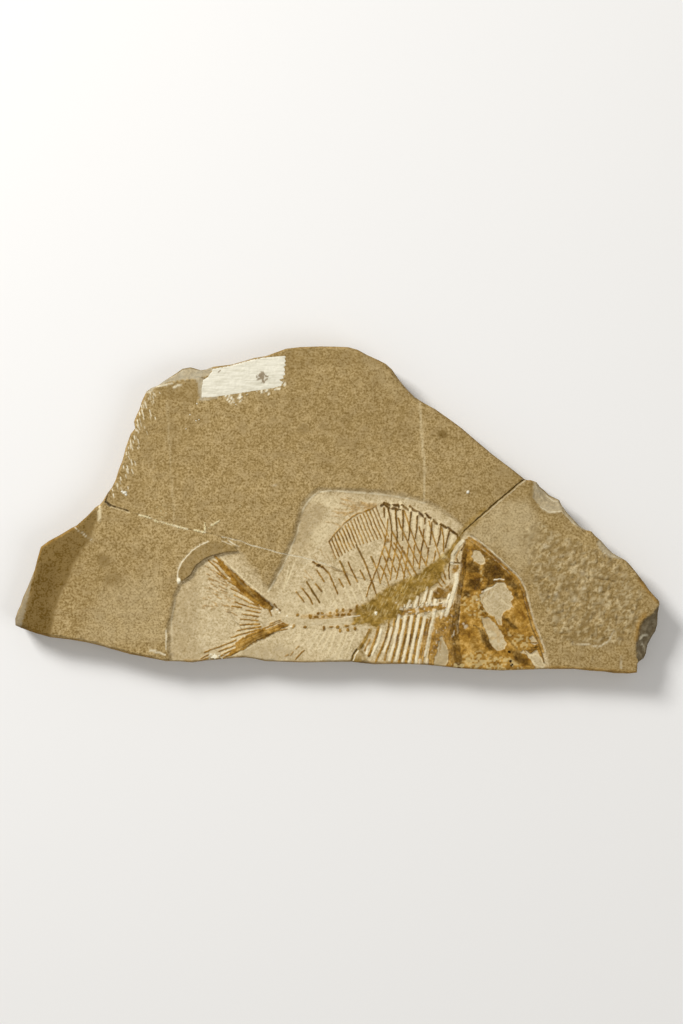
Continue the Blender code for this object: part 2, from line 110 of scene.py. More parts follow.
# %% Studio
KEY_PLACE, KEY_SIZE, KEY_WATTS = (-0.85, 0.80, 0.95), 0.45, 21.0
FILL_PLACE, FILL_SIZE, FILL_WATTS = (0.9, -0.5, 1.1), 0.9, 5.0
AIR_COLOUR, AIR_STRENGTH = (1.0, 0.98, 0.95, 1.0), 0.38
FLOOR_HALF = 3.0
FLOOR_COLOUR = (0.80, 0.79, 0.77, 1.0)


def lamp(name, where, size, watts):
    """A square lamp that looks at the middle of the slab."""
    made = added(name, bpy.data.lights.new(name, "AREA"))
    made.data.size = size
    made.data.energy = watts
    made.location = where
    made.rotation_euler = (-Vector(where)).to_track_quat("-Z", "Y").to_euler()


lamp("key", KEY_PLACE, KEY_SIZE, KEY_WATTS)
lamp("fill", FILL_PLACE, FILL_SIZE, FILL_WATTS)
world = bpy.data.worlds.new("studio")
world.use_nodes = True
air = world.node_tree.nodes["Background"]
air.inputs["Color"].default_value = AIR_COLOUR
air.inputs["Strength"].default_value = AIR_STRENGTH
bpy.context.scene.world = world
bpy.context.scene.view_settings.view_transform = "Standard"

bm = bmesh.new()
bmesh.ops.create_grid(bm, x_segments=1, y_segments=1, size=FLOOR_HALF)
floor = added("floor", bpy.data.meshes.new("floor"))
bm.to_mesh(floor.data)
bm.free()
paper = bpy.data.materials.new("floor_paper")
paper.use_nodes = True
shader = paper.node_tree.nodes["Principled BSDF"]
shader.inputs["Base Color"].default_value = FLOOR_COLOUR
shader.inputs["Roughness"].default_value = 0.9
floor.data.materials.append(paper)
print("studio ready")

# %% [markdown]
# Three tools work on many points at once: smooth random levels, the distance to a line, and whether
# a point is inside an outline. Random levels come from a table that is drawn once from a fixed seed
# and read between its squares, so that each run gives the same stone.

# %% Tools for many points
TABLE_SIZE = 128
TABLE = np.random.default_rng(20).random((TABLE_SIZE, TABLE_SIZE))


def rough(x, y, size, shift=0):
    """Smooth random levels from 0 to 1, in lumps of about this size. Each shift is another pattern."""
    u = np.asarray(x) / size + 17.3 * shift
    v = np.asarray(y) / size + 41.7 * shift
    i, j = np.floor(u).astype(int), np.floor(v).astype(int)
    s, t = u - i, v - j
    s, t = s * s * (3 - 2 * s), t * t * (3 - 2 * t)
    i, i_next = i % TABLE_SIZE, (i + 1) % TABLE_SIZE
    j, j_next = j % TABLE_SIZE, (j + 1) % TABLE_SIZE
    low = TABLE[i, j] * (1 - s) + TABLE[i_next, j] * s
    high = TABLE[i, j_next] * (1 - s) + TABLE[i_next, j_next] * s
    return low * (1 - t) + high * t


def nearest(x, y, line):
    """For each point, the distance to a line of corners and how far along it that is, from 0 to 1."""
    corners = np.array([p[:2] for p in line], float)
    steps = np.linalg.norm(np.diff(corners, axis=0), axis=1)
    starts = np.concatenate([[0], np.cumsum(steps)])
    best = np.full(len(x), np.inf)
    along = np.zeros(len(x))
    for (ax, ay), (bx, by), step, start in zip(corners, corners[1:], steps, starts):
        t = np.clip(((x - ax) * (bx - ax) + (y - ay) * (by - ay)) / step ** 2, 0, 1)
        away = np.hypot(x - ax - t * (bx - ax), y - ay - t * (by - ay))
        closer = away < best
        best[closer] = away[closer]
        along[closer] = ((start + t * step) / starts[-1])[closer]
    return best, along


def closed(outline):
    """An outline that ends where it starts."""
    return outline + outline[:1]


def inside(x, y, outline):
    """Which points lie inside a closed outline."""
    found = np.zeros(len(x), bool)
    corners = [p[:2] for p in closed(outline)]
    for (ax, ay), (bx, by) in zip(corners, corners[1:]):
        if ay != by:
            found ^= ((ay > y) != (by > y)) & (x < ax + (y - ay) / (by - ay) * (bx - ax))
    return found


def depth_inside(x, y, outline):
    """The distance to an outline: above 0 inside it and below 0 outside."""
    away = nearest(x, y, closed(outline))[0]
    return np.where(inside(x, y, outline), away, -away)


def ease(value, low, high):
    """0 below low, 1 above high, and a smooth step between."""
    t = np.clip((value - low) / (high - low), 0, 1)
    return t * t * (3 - 2 * t)


print("tools ready")

# %% [markdown]
# The slab's outline and its two breaks. The rim is written as three runs, from break to break, so
# that each fragment's outline is a rim run and the breaks that close it. Each rim corner also says
# how wide the broken bevel is that leads down from the face there. The breaks meet at one point
# under the backbone.

# %% Rim and breaks
BREAK_LEFT = (102.4, 500.5)
BREAK_RIGHT = (524.5, 478.8)
BREAK_FOOT = (351, 662.3)
JOIN = (402.2, 592.5)
RIM_TOP = [
    (*BREAK_LEFT, 2), (105, 496.4, 2), (107.6, 492, 2), (111, 488, 2), (115, 480, 3), (118, 470, 3),
    (122, 460, 3), (125, 448, 3), (130, 434, 3), (134.6, 428, 2), (133.4, 421.5, 3),
    (136, 415, 3), (139, 409, 3), (141, 402, 3), (146, 391, 4), (151, 387.5, 3),
    (157, 385.5, 2), (163, 381, 2), (175, 373, 2), (182, 368, 2), (190, 366.6, 2), (200, 369.6, 2),
    (206, 369, 2), (212, 366.5, 2), (231, 364.2, 2), (244, 360.6, 2), (254, 357.6, 2), (266, 355.6, 2),
    (275.6, 352, 2), (286, 348.2, 2),
    (300, 346.6, 2), (320, 346, 2), (336, 346.2, 3), (348.5, 346.8, 3), (358, 349.5, 3),
    (367, 354.5, 3), (379, 360, 3), (386, 363.6, 3), (392, 369, 4), (399.5, 380, 3), (407, 389, 3),
    (415, 397, 3), (422.5, 401.8, 3), (435.6, 409, 3), (449, 418.5, 3), (462, 428, 3),
    (477, 441, 2), (492, 453.6, 2), (503, 462, 2), (515, 471, 2), (*BREAK_RIGHT, 2),
]
RIM_RIGHT = [
    (*BREAK_RIGHT, 2), (527, 480, 2), (531, 480, 2), (537, 482, 2), (541, 487, 2), (546, 491, 2),
    (550, 495, 2), (556, 498, 2), (560, 500, 2), (562, 505, 2), (565, 509, 2), (568, 513, 2),
    (573, 518.4, 2), (580, 526, 3), (586, 530, 3), (592, 531.4, 3), (596, 536, 3), (602, 541, 3),
    (608, 548, 3), (613, 553, 3), (620, 557, 3), (627, 561, 3), (632, 566.4, 3), (638, 574, 3),
    (645, 583, 3), (650, 590.6, 3), (656, 597, 3), (660, 601.4, 2), (660.3, 605, 2), (659, 613, 2),
    (659, 625, 2), (657, 632, 2), (654, 636.4, 2), (652, 640, 2), (649, 646, 2), (647.5, 654, 2),
    (645, 659, 2), (640.6, 661.4, 2), (638.4, 664, 2), (638, 673, 2), (630, 673.9, 2),
    (615, 673.6, 2), (605, 672, 2), (590, 671, 2), (575, 669.4, 2), (545, 669.5, 2), (525, 670.2, 2),
    (501, 671, 2), (480, 670, 2), (462, 669, 2), (445, 667.2, 2), (429, 665.6, 2), (410, 664.6, 2),
    (392, 664.5, 2), (375, 664.8, 2), (362, 663.6, 2), (*BREAK_FOOT, 2),
]
RIM_LEFT = [
    (*BREAK_FOOT, 2), (330, 662.4, 2), (305, 663, 2), (285, 662.4, 2), (265, 661.6, 2),
    (255, 659.3, 2), (245, 658, 2), (235, 658.2, 2), (225, 659.4, 2), (205, 661, 2), (192, 663, 2),
    (180, 662, 2), (165, 661.4, 2), (148, 658, 3), (130, 654.6, 3), (110, 649, 3), (100, 646, 3),
    (85, 642.4, 3), (70, 640, 3), (50, 637.6, 3), (35, 633.6, 3), (20, 628, 4), (14.6, 625.6, 6),
    (14.4, 619, 7), (17, 611, 7), (20, 605, 7), (22, 598, 7), (26.6, 588, 6), (30, 580, 5),
    (34, 570, 3), (37, 558, 2), (40, 547, 2), (48, 541, 2), (60, 534.6, 2), (70, 528.4, 2),
    (76, 525.4, 2), (87, 515.6, 2), (95, 507, 2), (99.5, 504.4, 2), (*BREAK_LEFT, 2),
]
BREAK_TAIL = [
    BREAK_LEFT, (105.6, 501.4), (109, 504.6), (119, 508), (129, 511), (136, 513.7), (151, 518),
    (169, 524), (187, 529), (196, 530.6), (205, 532), (222, 537), (240, 540.5), (250, 545), (262, 548),
    (280, 553), (300, 557), (315, 561), (330, 566), (343, 572), (356, 577.6), (371, 580.6), (382, 584),
    (392, 589), JOIN,
]
BREAK_HEAD_LOW = [
    BREAK_FOOT, (351.4, 659), (353, 654.6), (356, 650), (361, 644.4), (365, 638.6), (367.6, 631),
    (369, 623), (376, 614), (385, 607), (393, 599.4), JOIN,
]
BREAK_HEAD_HIGH = [
    JOIN, (411, 586.6), (418, 581.4), (427, 573.4), (436, 566), (444, 557), (451, 549),
    (457.6, 540), (464, 531), (472, 524), (481, 516), (490, 508), (500, 499), (511, 489.6),
    (517, 484.6), BREAK_RIGHT,
]
PIECES = {
    "slab_upper": (RIM_TOP, BREAK_HEAD_HIGH[::-1][1:] + BREAK_TAIL[::-1][1:-1]),
    "slab_head_side": (RIM_RIGHT, BREAK_HEAD_LOW[1:] + BREAK_HEAD_HIGH[1:-1]),
    "slab_tail_side": (RIM_LEFT, BREAK_TAIL[1:] + BREAK_HEAD_LOW[::-1][1:-1]),
}
WHOLE_RIM = RIM_TOP + RIM_RIGHT[1:] + RIM_LEFT[1:-1]


def rim_distance(x, y):
    """How far points lie from the slab's rim, in pixels."""
    return nearest(x, y, closed(WHOLE_RIM))[0]


print(f"{len(WHOLE_RIM)} rim corners")

# %% [markdown]
# Marks. Everything on the face is either relief or a stain, and most of it is both: a rib is a brown
# ridge. So one small class holds, for every point of a face, its height and the amounts of each
# finish, and draws lines, patches and spots into them. A little wobble is laid over the places, so
# that no bone has a ruler's edge.

# %% Marks on a face
FINISHES = ("bone", "dark", "glue", "hollow", "pale", "grey", "dust", "stain", "fresh")
UNEVEN = 1.8


class Marks:
    """The relief in millimetres and the amounts of each finish at every point of a face."""

    def __init__(self, x, y):
        self.x = x + 0.5 * (rough(x, y, 2.3, 1) - 0.5) + 0.6 * (rough(x, y, 9.0, 2) - 0.5)
        self.y = y + 0.5 * (rough(x, y, 2.3, 3) - 0.5) + 0.6 * (rough(x, y, 9.0, 4) - 0.5)
        self.amounts = {name: np.zeros(len(x)) for name in FINISHES + ("height", "depth")}

    def near(self, points, reach):
        """The points that are within reach of the box round some places."""
        xs, ys = [p[0] for p in points], [p[1] for p in points]
        close = (self.x > min(xs) - reach) & (self.x < max(xs) + reach)
        return np.nonzero(close & (self.y > min(ys) - reach) & (self.y < max(ys) + reach))[0]

    def add(self, where, cover, amounts):
        """The stronger of what is there and what is laid on, so that crossing strokes don't pile up."""
        for name, amount in amounts.items():
            level = self.amounts[name]
            level[where] = np.maximum(level[where], cover * amount)

    def line(self, points, wide, narrow=None, soft=0.8, broken=0.0, **amounts):
        """A stroke that goes from wide to narrow, worn away in places where it is broken."""
        narrow = wide if narrow is None else narrow
        where = self.near(points, max(wide, narrow) + soft)
        if len(where) == 0:
            return
        x, y = self.x[where], self.y[where]
        away, along = nearest(x, y, points)
        half = (wide + (narrow - wide) * along) / 2 * (0.85 + 0.3 * rough(x, y, 3.0, 31))
        cover = 1 - ease(away, half - soft / 2, half + soft / 2)
        cover = cover * (1 - 0.25 * rough(x, y, 7.0, 32))
        if broken:
            cover = cover * (1 - broken * ease(rough(x, y, 5.0, 5), 0.45, 0.75))
        self.add(where, cover, amounts)

    def cover(self, where, outline, soft):
        """How far points are inside an outline whose edge is uneven."""
        x, y = self.x[where], self.y[where]
        uneven = UNEVEN * (rough(x, y, 2.4, 33) - 0.5)
        return ease(depth_inside(x, y, outline) + uneven, -soft / 2, soft / 2)

    def patch(self, outline, soft=1.5, broken=0.0, size=6.0, **amounts):
        """An area with a soft edge, worn through in lumps of the given size where it is broken."""
        where = self.near(outline, soft)
        if len(where) == 0:
            return
        cover = self.cover(where, outline, soft)
        if broken:
            lumps = rough(self.x[where], self.y[where], size, 6)
            cover = cover * (1 - broken * ease(lumps, 0.35, 0.7))
        self.add(where, cover, amounts)

    def flecks(self, outline, size, above, shift, **amounts):
        """Small flecks over an area, fewer of them the higher the level they have to be above."""
        where = self.near(outline, 1)
        if len(where) == 0:
            return
        level = rough(self.x[where], self.y[where], size, shift)
        self.add(where, self.cover(where, outline, 3) * ease(level, above - 0.1, above + 0.1), amounts)

    def spot(self, x, y, half_x, half_y=None, edge=0.6, **amounts):
        """A round or oval spot, full out to the edge share of its size."""
        half_y = half_y or half_x
        where = self.near([(x - half_x, y - half_y), (x + half_x, y + half_y)], 0.5)
        away = np.hypot((self.x[where] - x) / half_x, (self.y[where] - y) / half_y)
        away = away * (0.7 + 0.6 * rough(self.x[where], self.y[where], 1.8, 34))
        self.add(where, 1 - ease(away, edge, 1), amounts)

    def each(self, draw, rows):
        """Draws one mark for each row, which ends with the amounts of its finishes."""
        for *shape, amounts in rows:
            draw(*shape, **amounts)

    def lines(self, lines, *shape, **amounts):
        """The same stroke along each of several lines."""
        for points in lines:
            self.line(points, *shape, **amounts)

    def clear(self, outline, soft=1.2, keep=0.0, names=("bone", "dark", "glue", "height")):
        """Takes marks off an area again, such as the windows in the skull."""
        where = self.near(outline, soft)
        if len(where) == 0:
            return
        cover = self.cover(where, outline, soft)
        for name in names:
            self.amounts[name][where] *= 1 - cover * (1 - keep)


print("finishes:", ", ".join(FINISHES))

# %% [markdown]
# The tail fin. Two thick leading edges, made of many rays pressed together, meet at the root, and
# short rays fan out between them. The bone is darkest at the root and frays to pale streaks at the
# tips, so the leading edges are patches with dark and pale lines drawn along them.

# %% Tail fin
TAIL_UPPER = [
    (214.6, 555.8), (223, 562), (234, 572.6), (245.7, 583.6), (257.4, 593.6), (269, 602.6), (273, 607),
    (271, 610.4), (263, 607.5), (254.5, 602), (245.7, 596.4), (238.4, 589), (231, 580), (223.7, 571),
    (218, 563.5),
]
TAIL_LOWER = [
    (288, 625), (284, 628), (278, 630.5), (272, 634), (266, 637.5), (258, 641), (250, 645), (243, 649.5),
    (236, 653), (230, 656), (226, 657), (230, 653), (236, 648), (236, 643), (240, 640), (247, 635.4),
    (255, 631.6), (262, 629.5), (268, 629), (276, 625.4), (282, 622.6),
]
TAIL_RAYS = [
    [(213, 561), (219, 565), (226, 572), (229.6, 577)], [(214, 556.6), (218, 560), (224, 567)],
    [(208, 560), (216, 568), (220, 572), (227, 579)], [(217, 573), (226, 579)],
    [(228, 581), (236, 586), (243, 592)], [(231, 588.6), (240, 593), (250, 599), (259, 606)],
    [(234, 595), (241, 598.6), (251, 603.6), (259, 606.4)],
    [(235, 602), (241, 604.5), (250, 607), (261, 609)], [(232, 606.5), (241, 607.6)],
    [(246, 610), (252, 611.4), (260, 612.7)], [(242, 614), (250, 615.4), (258, 616.6)],
    [(240, 619), (248, 620), (258, 621)], [(240, 625.4), (248, 624.8), (259, 624)],
    [(237, 631), (246, 629), (260, 626.6)], [(231, 637.6), (240, 635), (250, 631.6), (260, 629.2)],
    [(236, 640), (226, 644.5), (212, 649.5), (204, 653)], [(240, 643), (230, 647.5), (219, 651.5)],
    [(239, 647.4), (228, 652), (221, 656)], [(238, 651.6), (230, 655), (223, 658)],
    [(208, 655), (201, 659)], [(208, 658), (199, 662)],
]
TAIL_DASHES = [
    (209, 578, 5), (215, 580.6, 5), (221, 583, 7), (219, 586, 8), (221, 590, 7), (223, 581, 4),
    (211, 583.6, 4), (214, 586, 4), (209, 587.4, 3), (217, 576.6, 3), (212, 593, 6), (208, 597, 3),
    (217, 597.4, 4), (212, 601.6, 5), (221, 603.6, 4), (226, 605, 4), (228, 599, 3), (207, 574, 3),
    (216, 591.4, 3), (226, 584, 4), (205, 566, 4), (210, 569.6, 4), (230, 612, 8), (215, 605, 3),
]
TAIL_ROOT = [
    [(280, 620), (270, 624)], [(281, 621.6), (262, 629)], [(283, 623), (268, 629.4)],
    [(288, 625), (270, 633)], [(287, 629), (276, 631)],
]
TAIL_WHITE = [
    [(210, 557.6), (218, 562), (230, 573)], [(208, 562), (217, 571), (224, 577)],
    [(228, 577), (240, 587)], [(220, 557), (231, 567), (246, 581), (262, 595)],
    [(232, 591), (243, 597), (254, 603.6)], [(236, 611), (248, 613), (258, 614.6)],
    [(238, 628.4), (250, 626)], [(236, 634), (252, 629.6)], [(226, 642), (238, 637.4), (250, 634)],
    [(222, 648.6), (236, 642.6)], [(222, 653.6), (238, 647)], [(205, 657), (197, 661)],
    [(230, 657), (244, 650.6), (258, 643)], [(212, 655), (220, 658)],
]
TAIL_STREAKS = [
    [(224, 563), (236, 577.6), (250, 591)], [(227, 565), (240, 579), (254, 592)],
    [(232, 574), (246, 589.6), (258, 600)], [(236, 582), (248, 594), (260, 602.6)],
    [(240, 582), (252, 593)], [(246, 592), (262, 603), (268, 607)],
    [(236, 651), (250, 643.4), (262, 637)], [(232, 655), (246, 646), (258, 640)],
    [(240, 645), (252, 638.6), (266, 633)], [(238, 648), (254, 640)],
    [(242, 641), (256, 634.4), (270, 630.6)], [(244, 638.6), (262, 632), (278, 627)],
    [(268, 630), (280, 624.8), (287, 625)], [(272, 632), (284, 627.4)],
]
TAIL_TIP = [(210, 654), (224, 655), (222, 661), (209, 661)]
TAIL_CRUMBS = [(272, 611), (277, 609.6), (279.6, 612.6), (287, 616), (291, 627)]
TAIL_MIDDLE = (276, 612)
FINE_DASHES = 75
TAIL_STROKES = [
    ([(236, 578), (246, 588), (256, 597), (271, 607)], 3.0, 6.0, 3.0, 0.1, dict(dark=0.5)),
    ([(254, 591), (262, 597.4), (272, 606)], 2.0, 3.4, 1.4, dict(dark=0.8, height=0.55)),
    ([(250, 594), (258, 600.6)], 2.6, 2.0, 1.2, 0.3, dict(dark=0.6)),
    ([(226, 563.6), (236, 573.6), (248, 585)], 1.1, 1.4, 0.8, 0.2, dict(dark=0.3, height=0.5)),
    ([(214, 559), (228, 575), (240, 588), (252, 598)], 1.2, 1.2, 0.9, 0.3, dict(pale=0.4)),
    ([(266, 635), (254, 640), (243, 647)], 5.0, 3.4, 2.6, 0.1, dict(dark=0.6, height=0.5)),
    ([(273, 633), (262, 638), (252, 643)], 2.0, 1.4, 1.0, dict(dark=0.85, height=0.5)),
    ([(262, 631.6), (252, 635), (246, 638)], 2.6, 1.6, 1.2, 0.2, dict(dark=0.55)),
    ([(268.6, 606), (270, 612), (271.6, 616)], 2.4, 1.2, 0.8, dict(bone=1.0, dark=0.4, height=0.4)),
    ([(274, 604), (276.6, 607.6), (280, 610.6)], 1.8, 1.2, 0.7, 0.2, dict(bone=1.0, dark=0.8, height=0.4)),
    ([(230, 612), (234, 620), (239, 626), (243, 632), (248, 638)], 0.7, 0.7, 0.5,
     dict(dark=0.4, depth=0.1)),
    ([(294, 625.6), (292.6, 628)], 2.4, 2.0, 0.8, dict(bone=0.9, dark=0.2, height=0.3)),
]
TAIL_KNOB = (228, 612)
TAIL_STAIN = [(262, 623), (268, 620), (266, 628), (258, 631)]


def tail_fin(face):
    """The fin's rays, its two thick edges and the dark root."""
    face.lines(TAIL_WHITE, 1.4, 1.2, 1.0, 0.2, pale=1.0, height=0.1)
    face.patch(TAIL_UPPER, 1.4, bone=1.2, height=0.5)
    face.patch(TAIL_LOWER, 1.4, bone=1.2, height=0.45)
    face.each(face.line, TAIL_STROKES)
    face.lines(TAIL_STREAKS[::2], 1.0, 0.8, 0.8, 0.5, fresh=0.2)
    face.lines(TAIL_STREAKS[1::2], 1.1, 0.9, 0.8, 0.4, dark=0.45)
    face.lines(TAIL_RAYS, 1.3, 1.6, 0.6, 0.2, bone=1.2, dark=0.14, height=0.3)
    face.lines(TAIL_ROOT, 1.2, 1.2, 0.7, 0.2, bone=1.1, dark=0.1, height=0.35)
    for x, y, length in TAIL_DASHES:
        face.line([(x, y), (x + 0.85 * length, y + 0.45 * length)], 1.2, 1.1, 0.8, 0.3,
                  bone=0.75, dark=0.1, height=0.2)
    throw = np.random.default_rng(12)
    for _ in range(FINE_DASHES):
        turn, away, length = 0.04 + 0.62 * throw.random(), 44 + 32 * throw.random(), 2 + 3 * throw.random()
        start = (TAIL_MIDDLE[0] - away * math.cos(turn), TAIL_MIDDLE[1] - away * math.sin(turn))
        end = (start[0] + length * math.cos(turn), start[1] + length * math.sin(turn))
        face.line([start, end], 0.9, 0.8, 0.7, 0.2, bone=0.35 + 0.45 * throw.random(), height=0.15)
    face.spot(*TAIL_KNOB, 3.0, 1.2, 0.3, bone=0.8, height=0.2)
    face.patch(TAIL_STAIN, 3.0, stain=0.25)
    for x, y in TAIL_CRUMBS:
        face.spot(x, y, 1.5, 1.2, 0.4, dust=0.75, height=0.2)
    face.flecks(TAIL_TIP, 1.5, 0.55, 36, dark=0.6)
    face.flecks(TAIL_TIP, 1.5, 0.6, 37, dust=0.9)


print(f"tail fin: {len(TAIL_RAYS)} rays and {len(TAIL_DASHES) + FINE_DASHES} dashes")

# %% [markdown]
# The dorsal fin. A row of slim supports stands under the back, close together and shorter towards
# the tail. Only the feet of the fin's rays are left above them, as faint ochre streaks. The supports
# follow a rule, so a loop sets them out along the fin's base.

# %% Dorsal fin
FIN_FIRST, FIN_LAST = (376, 507), (329, 541.5)
FIN_SUPPORTS = 17
FIN_BULGE = 3.0
FIN_LONG, FIN_SHORT = 30.0, 17.0
FIN_LEAN = (0.42, 1.0)
FIN_BASE = [
    (376, 506), (371, 509), (363, 512), (357, 513.5), (353, 516), (349, 519.5), (344, 523),
    (341, 527), (336, 532), (329, 541),
]
FIN_RAYS = [
    [(376, 504), (364, 503), (350, 503)], [(372, 508), (361, 509), (349, 509.6)],
    [(357, 512), (350, 506), (345, 499)], [(350, 516), (344, 512), (340, 512)],
    [(366, 509), (356, 506.4), (342, 506)], [(369, 505.6), (356, 499.6), (346, 497.6)],
    [(345, 520), (338, 516.6), (331, 515.6)], [(340, 526), (333, 523), (326, 522)],
]
FIN_LOWER = [
    [(320, 549), (326, 560)], [(325, 552), (331, 563)], [(331, 550), (335.5, 560)],
    [(314, 556), (318, 563)], [(337, 548), (341, 556)],
]
FIN_FRONT = [
    [(349, 501.4), (362, 503.6), (376, 505.4)], [(353, 504.2), (366, 505.6), (376.6, 506)],
    [(352, 508), (362, 507.8), (374, 506.4)], [(340, 503), (349, 505.6)], [(335, 508.6), (346, 510)],
    [(337, 513.6), (347, 513)], [(333, 511), (339, 512.6)], [(341, 498.6), (352, 501.6)],
    [(346, 506), (356, 506.4)], [(343, 516), (351, 512), (358, 509.4)],
]


def dorsal_fin(face):
    """The supports, the bumpy line that they start from, and what is left of the rays."""
    face.lines(FIN_FRONT, 1.5, 2.0, 1.4, 0.45, bone=0.62, height=0.1)
    for i in range(FIN_SUPPORTS):
        t = i / (FIN_SUPPORTS - 1)
        bulge = FIN_BULGE * math.sin(math.pi * t)
        x = FIN_FIRST[0] + (FIN_LAST[0] - FIN_FIRST[0]) * t - bulge * 0.6
        y = FIN_FIRST[1] + (FIN_LAST[1] - FIN_FIRST[1]) * t - bulge
        length = FIN_LONG + (FIN_SHORT - FIN_LONG) * t
        foot = (x + FIN_LEAN[0] * length, y + FIN_LEAN[1] * length)
        face.line([(x + 1.4, y), (foot[0] + 1.4, foot[1])], 1.5, 1.2, 0.9, pale=0.85)
        face.line([(x, y), foot], 1.35, 1.1, 0.7, 0.2, bone=1.2, dark=0.26, height=0.36)
    face.line(FIN_BASE, 1.5, 1.3, 0.9, 0.4, bone=1.0, dark=0.15, height=0.4)
    face.lines(FIN_RAYS, 1.3, 0.8, 0.9, 0.6, bone=0.55, height=0.15)
    face.lines(FIN_LOWER, 1.2, 0.8, 0.8, 0.4, bone=0.5, height=0.15)


print(f"dorsal fin: {FIN_SUPPORTS} supports")

# %% [markdown]
# The nape. A row of dark scutes, like roof ridges, runs down from the fin to the head, with spines
# that lead down from them. Lighter bars cross the spines the other way and make the lattice that
# such deep-bodied fish are known for. The bars lie under the spines, so they are lower and paler.

# %% Nape
SCUTES = [
    [(381, 506), (384, 504.4), (389, 508)], [(384.6, 503), (390, 505.4), (392, 508.4)],
    [(392.6, 505), (398, 505), (400.4, 509)], [(393.6, 508), (398, 509.6)],
    [(402, 505), (406, 507.6), (409, 510)], [(410, 506), (413, 509.6), (417, 511)],
    [(418, 511.6), (421, 514.6), (424, 517)], [(425.6, 513.6), (428.6, 517), (431, 518)],
    [(431.6, 519), (435, 521.6), (437, 523.6)], [(440.6, 524), (444, 526), (447, 528)],
    [(448, 527.6), (452, 531), (456, 534)],
]
SCUTE_SPINES = [
    [(384, 508), (384.4, 517)], [(388, 509), (390.4, 519), (391.4, 530), (391.2, 541)],
    [(395.6, 509), (396.4, 520), (397, 532), (396.6, 543)],
    [(403, 510), (403.4, 522), (402.6, 532), (402.4, 540)],
    [(411, 512), (410, 522), (409.4, 531), (408.4, 540)], [(417.6, 516), (417, 525), (415.6, 538)],
    [(425, 518), (424.8, 524)], [(432, 521), (431.4, 531), (429.8, 545)],
    [(441, 526), (440, 535), (437.2, 546)], [(449.6, 531), (447.2, 539), (445, 548)],
    [(457, 534), (457.6, 539)], [(371.4, 557), (373, 561)], [(423, 541), (421.4, 550)],
    [(459, 538), (456, 545), (451, 552), (450, 561), (448.6, 570), (449.6, 579)],
]
CROSS_BARS = [
    [(382.4, 552), (379.4, 562), (376, 571), (373, 578), (369, 588), (366.6, 597)],
    [(388, 519), (387, 530), (385.4, 540), (383, 551)],
    [(391.2, 541), (390, 550), (387.6, 560), (384.4, 570), (381, 580)],
    [(396.6, 543), (395, 553), (392.6, 564), (390.2, 580)],
    [(402.4, 547), (401, 557), (399, 566), (396.4, 579)],
    [(408.6, 546), (407, 556), (406, 566), (404, 577), (402.8, 586)],
    [(415, 545), (413.8, 554), (413, 568)], [(421.4, 550), (420.4, 559), (419.4, 569)],
    [(424, 529), (423, 541)], [(428.6, 548), (428, 556), (426, 565)], [(435.6, 551), (434.2, 561)],
    [(372.8, 560), (377, 570), (379, 577), (380.4, 584)],
    [(382.6, 553), (386, 561), (388, 568), (391, 576)],
    [(380.6, 566), (384, 571), (386.4, 578), (389, 586)],
    [(385.4, 547), (389, 555), (392.4, 563), (396, 572)],
    [(391, 544), (394.4, 551), (398, 558), (402, 568), (405, 577)],
    [(391.6, 531), (397, 541), (402, 550), (408, 561), (413, 569), (419, 578)],
    [(398.4, 518), (401, 527), (406, 538), (412, 551), (416, 559), (420, 566)],
    [(394, 543), (400, 552), (404, 562), (409, 573)], [(403.4, 551), (409, 561), (414, 570), (417, 576)],
    [(404.6, 511), (408, 522), (412, 534), (416, 544), (421, 555), (427, 566)],
    [(419, 527), (423, 538), (429, 551)], [(429, 521), (433, 535), (437, 548), (440, 557)],
    [(442, 528), (443.4, 536), (443.4, 546), (444, 552)], [(407.6, 568), (411, 577)],
    [(424, 580), (430, 588)], [(434, 575), (438, 582), (442, 587)], [(438, 570), (441, 578), (445, 584)],
    [(442.4, 569), (446, 579)],
]
SCUTE_GAPS = [
    (391, 506.4), (400.8, 507), (409.4, 509.6), (417.4, 512.6), (424.6, 516), (431.6, 519.4),
    (438.8, 524), (447.4, 528.6),
]
# Bare cream stone between the spines; the last six short strokes are painted highlights on the lit wall
# above the scutes.
BARE_STRIPS_AND_WALL_HIGHLIGHTS = [
    [(387, 512), (388, 526)], [(393.6, 511), (394.6, 528)], [(400, 511), (400.4, 530)],
    [(407, 511), (407, 530)], [(414.6, 513), (414, 530)], [(421.6, 519), (420, 534)],
    [(428.6, 521), (427.6, 540)], [(436.6, 526), (435, 542)], [(445.6, 531), (443, 542)],
    [(453, 536), (450, 548)], [(390.6, 502.6), (392.6, 504)], [(400.6, 502.6), (403, 506)],
    [(409, 507), (411, 511)], [(417, 510), (418.6, 513)], [(424, 512), (425, 516)],
    [(439, 522), (441, 524)],
]
LAST_SCUTE = [(457, 536), (461, 541), (466, 545)]


def nape(face):
    """The lattice of bars and spines, the scutes along the back, and painted highlights above them."""
    # Bare stone between the spines, and painted highlights on the lit wall above the scutes.
    face.lines(BARE_STRIPS_AND_WALL_HIGHLIGHTS, 3.2, 2.4, 1.4, pale=1.0)
    face.lines(CROSS_BARS, 1.5, 1.3, 0.7, 0.1, bone=1.2, dark=0.22, height=0.26)
    face.lines(SCUTE_SPINES, 1.6, 1.1, 0.7, 0.1, bone=1.2, dark=0.8, height=0.42)
    face.lines(SCUTES, 2.5, 2.0, 0.9, 0.15, bone=1.0, dark=0.95, height=0.55)
    for x, y in SCUTE_GAPS:
        gap = [(x - 1.4, y + 1.6), (x - 0.4, y - 2), (x + 1.4, y - 1.2), (x + 0.4, y + 2.2)]
        face.clear(gap, 0.8)
        face.patch(gap, 0.8, pale=1.0)
    face.line(LAST_SCUTE, 1.4, 1.2, 0.8, bone=1, dark=0.8, height=0.4)


print(f"nape: {len(SCUTES)} scutes, {len(SCUTE_SPINES)} spines and {len(CROSS_BARS)} bars")

# %% [markdown]
# The backbone and the spines above it. These fish had no bony vertebrae: a smooth pale band marks
# where the soft backbone ran, with small dark arches along both edges. The loose spines above it
# show dark where bone is left, and go on below as pale grooves where only the impression is left.

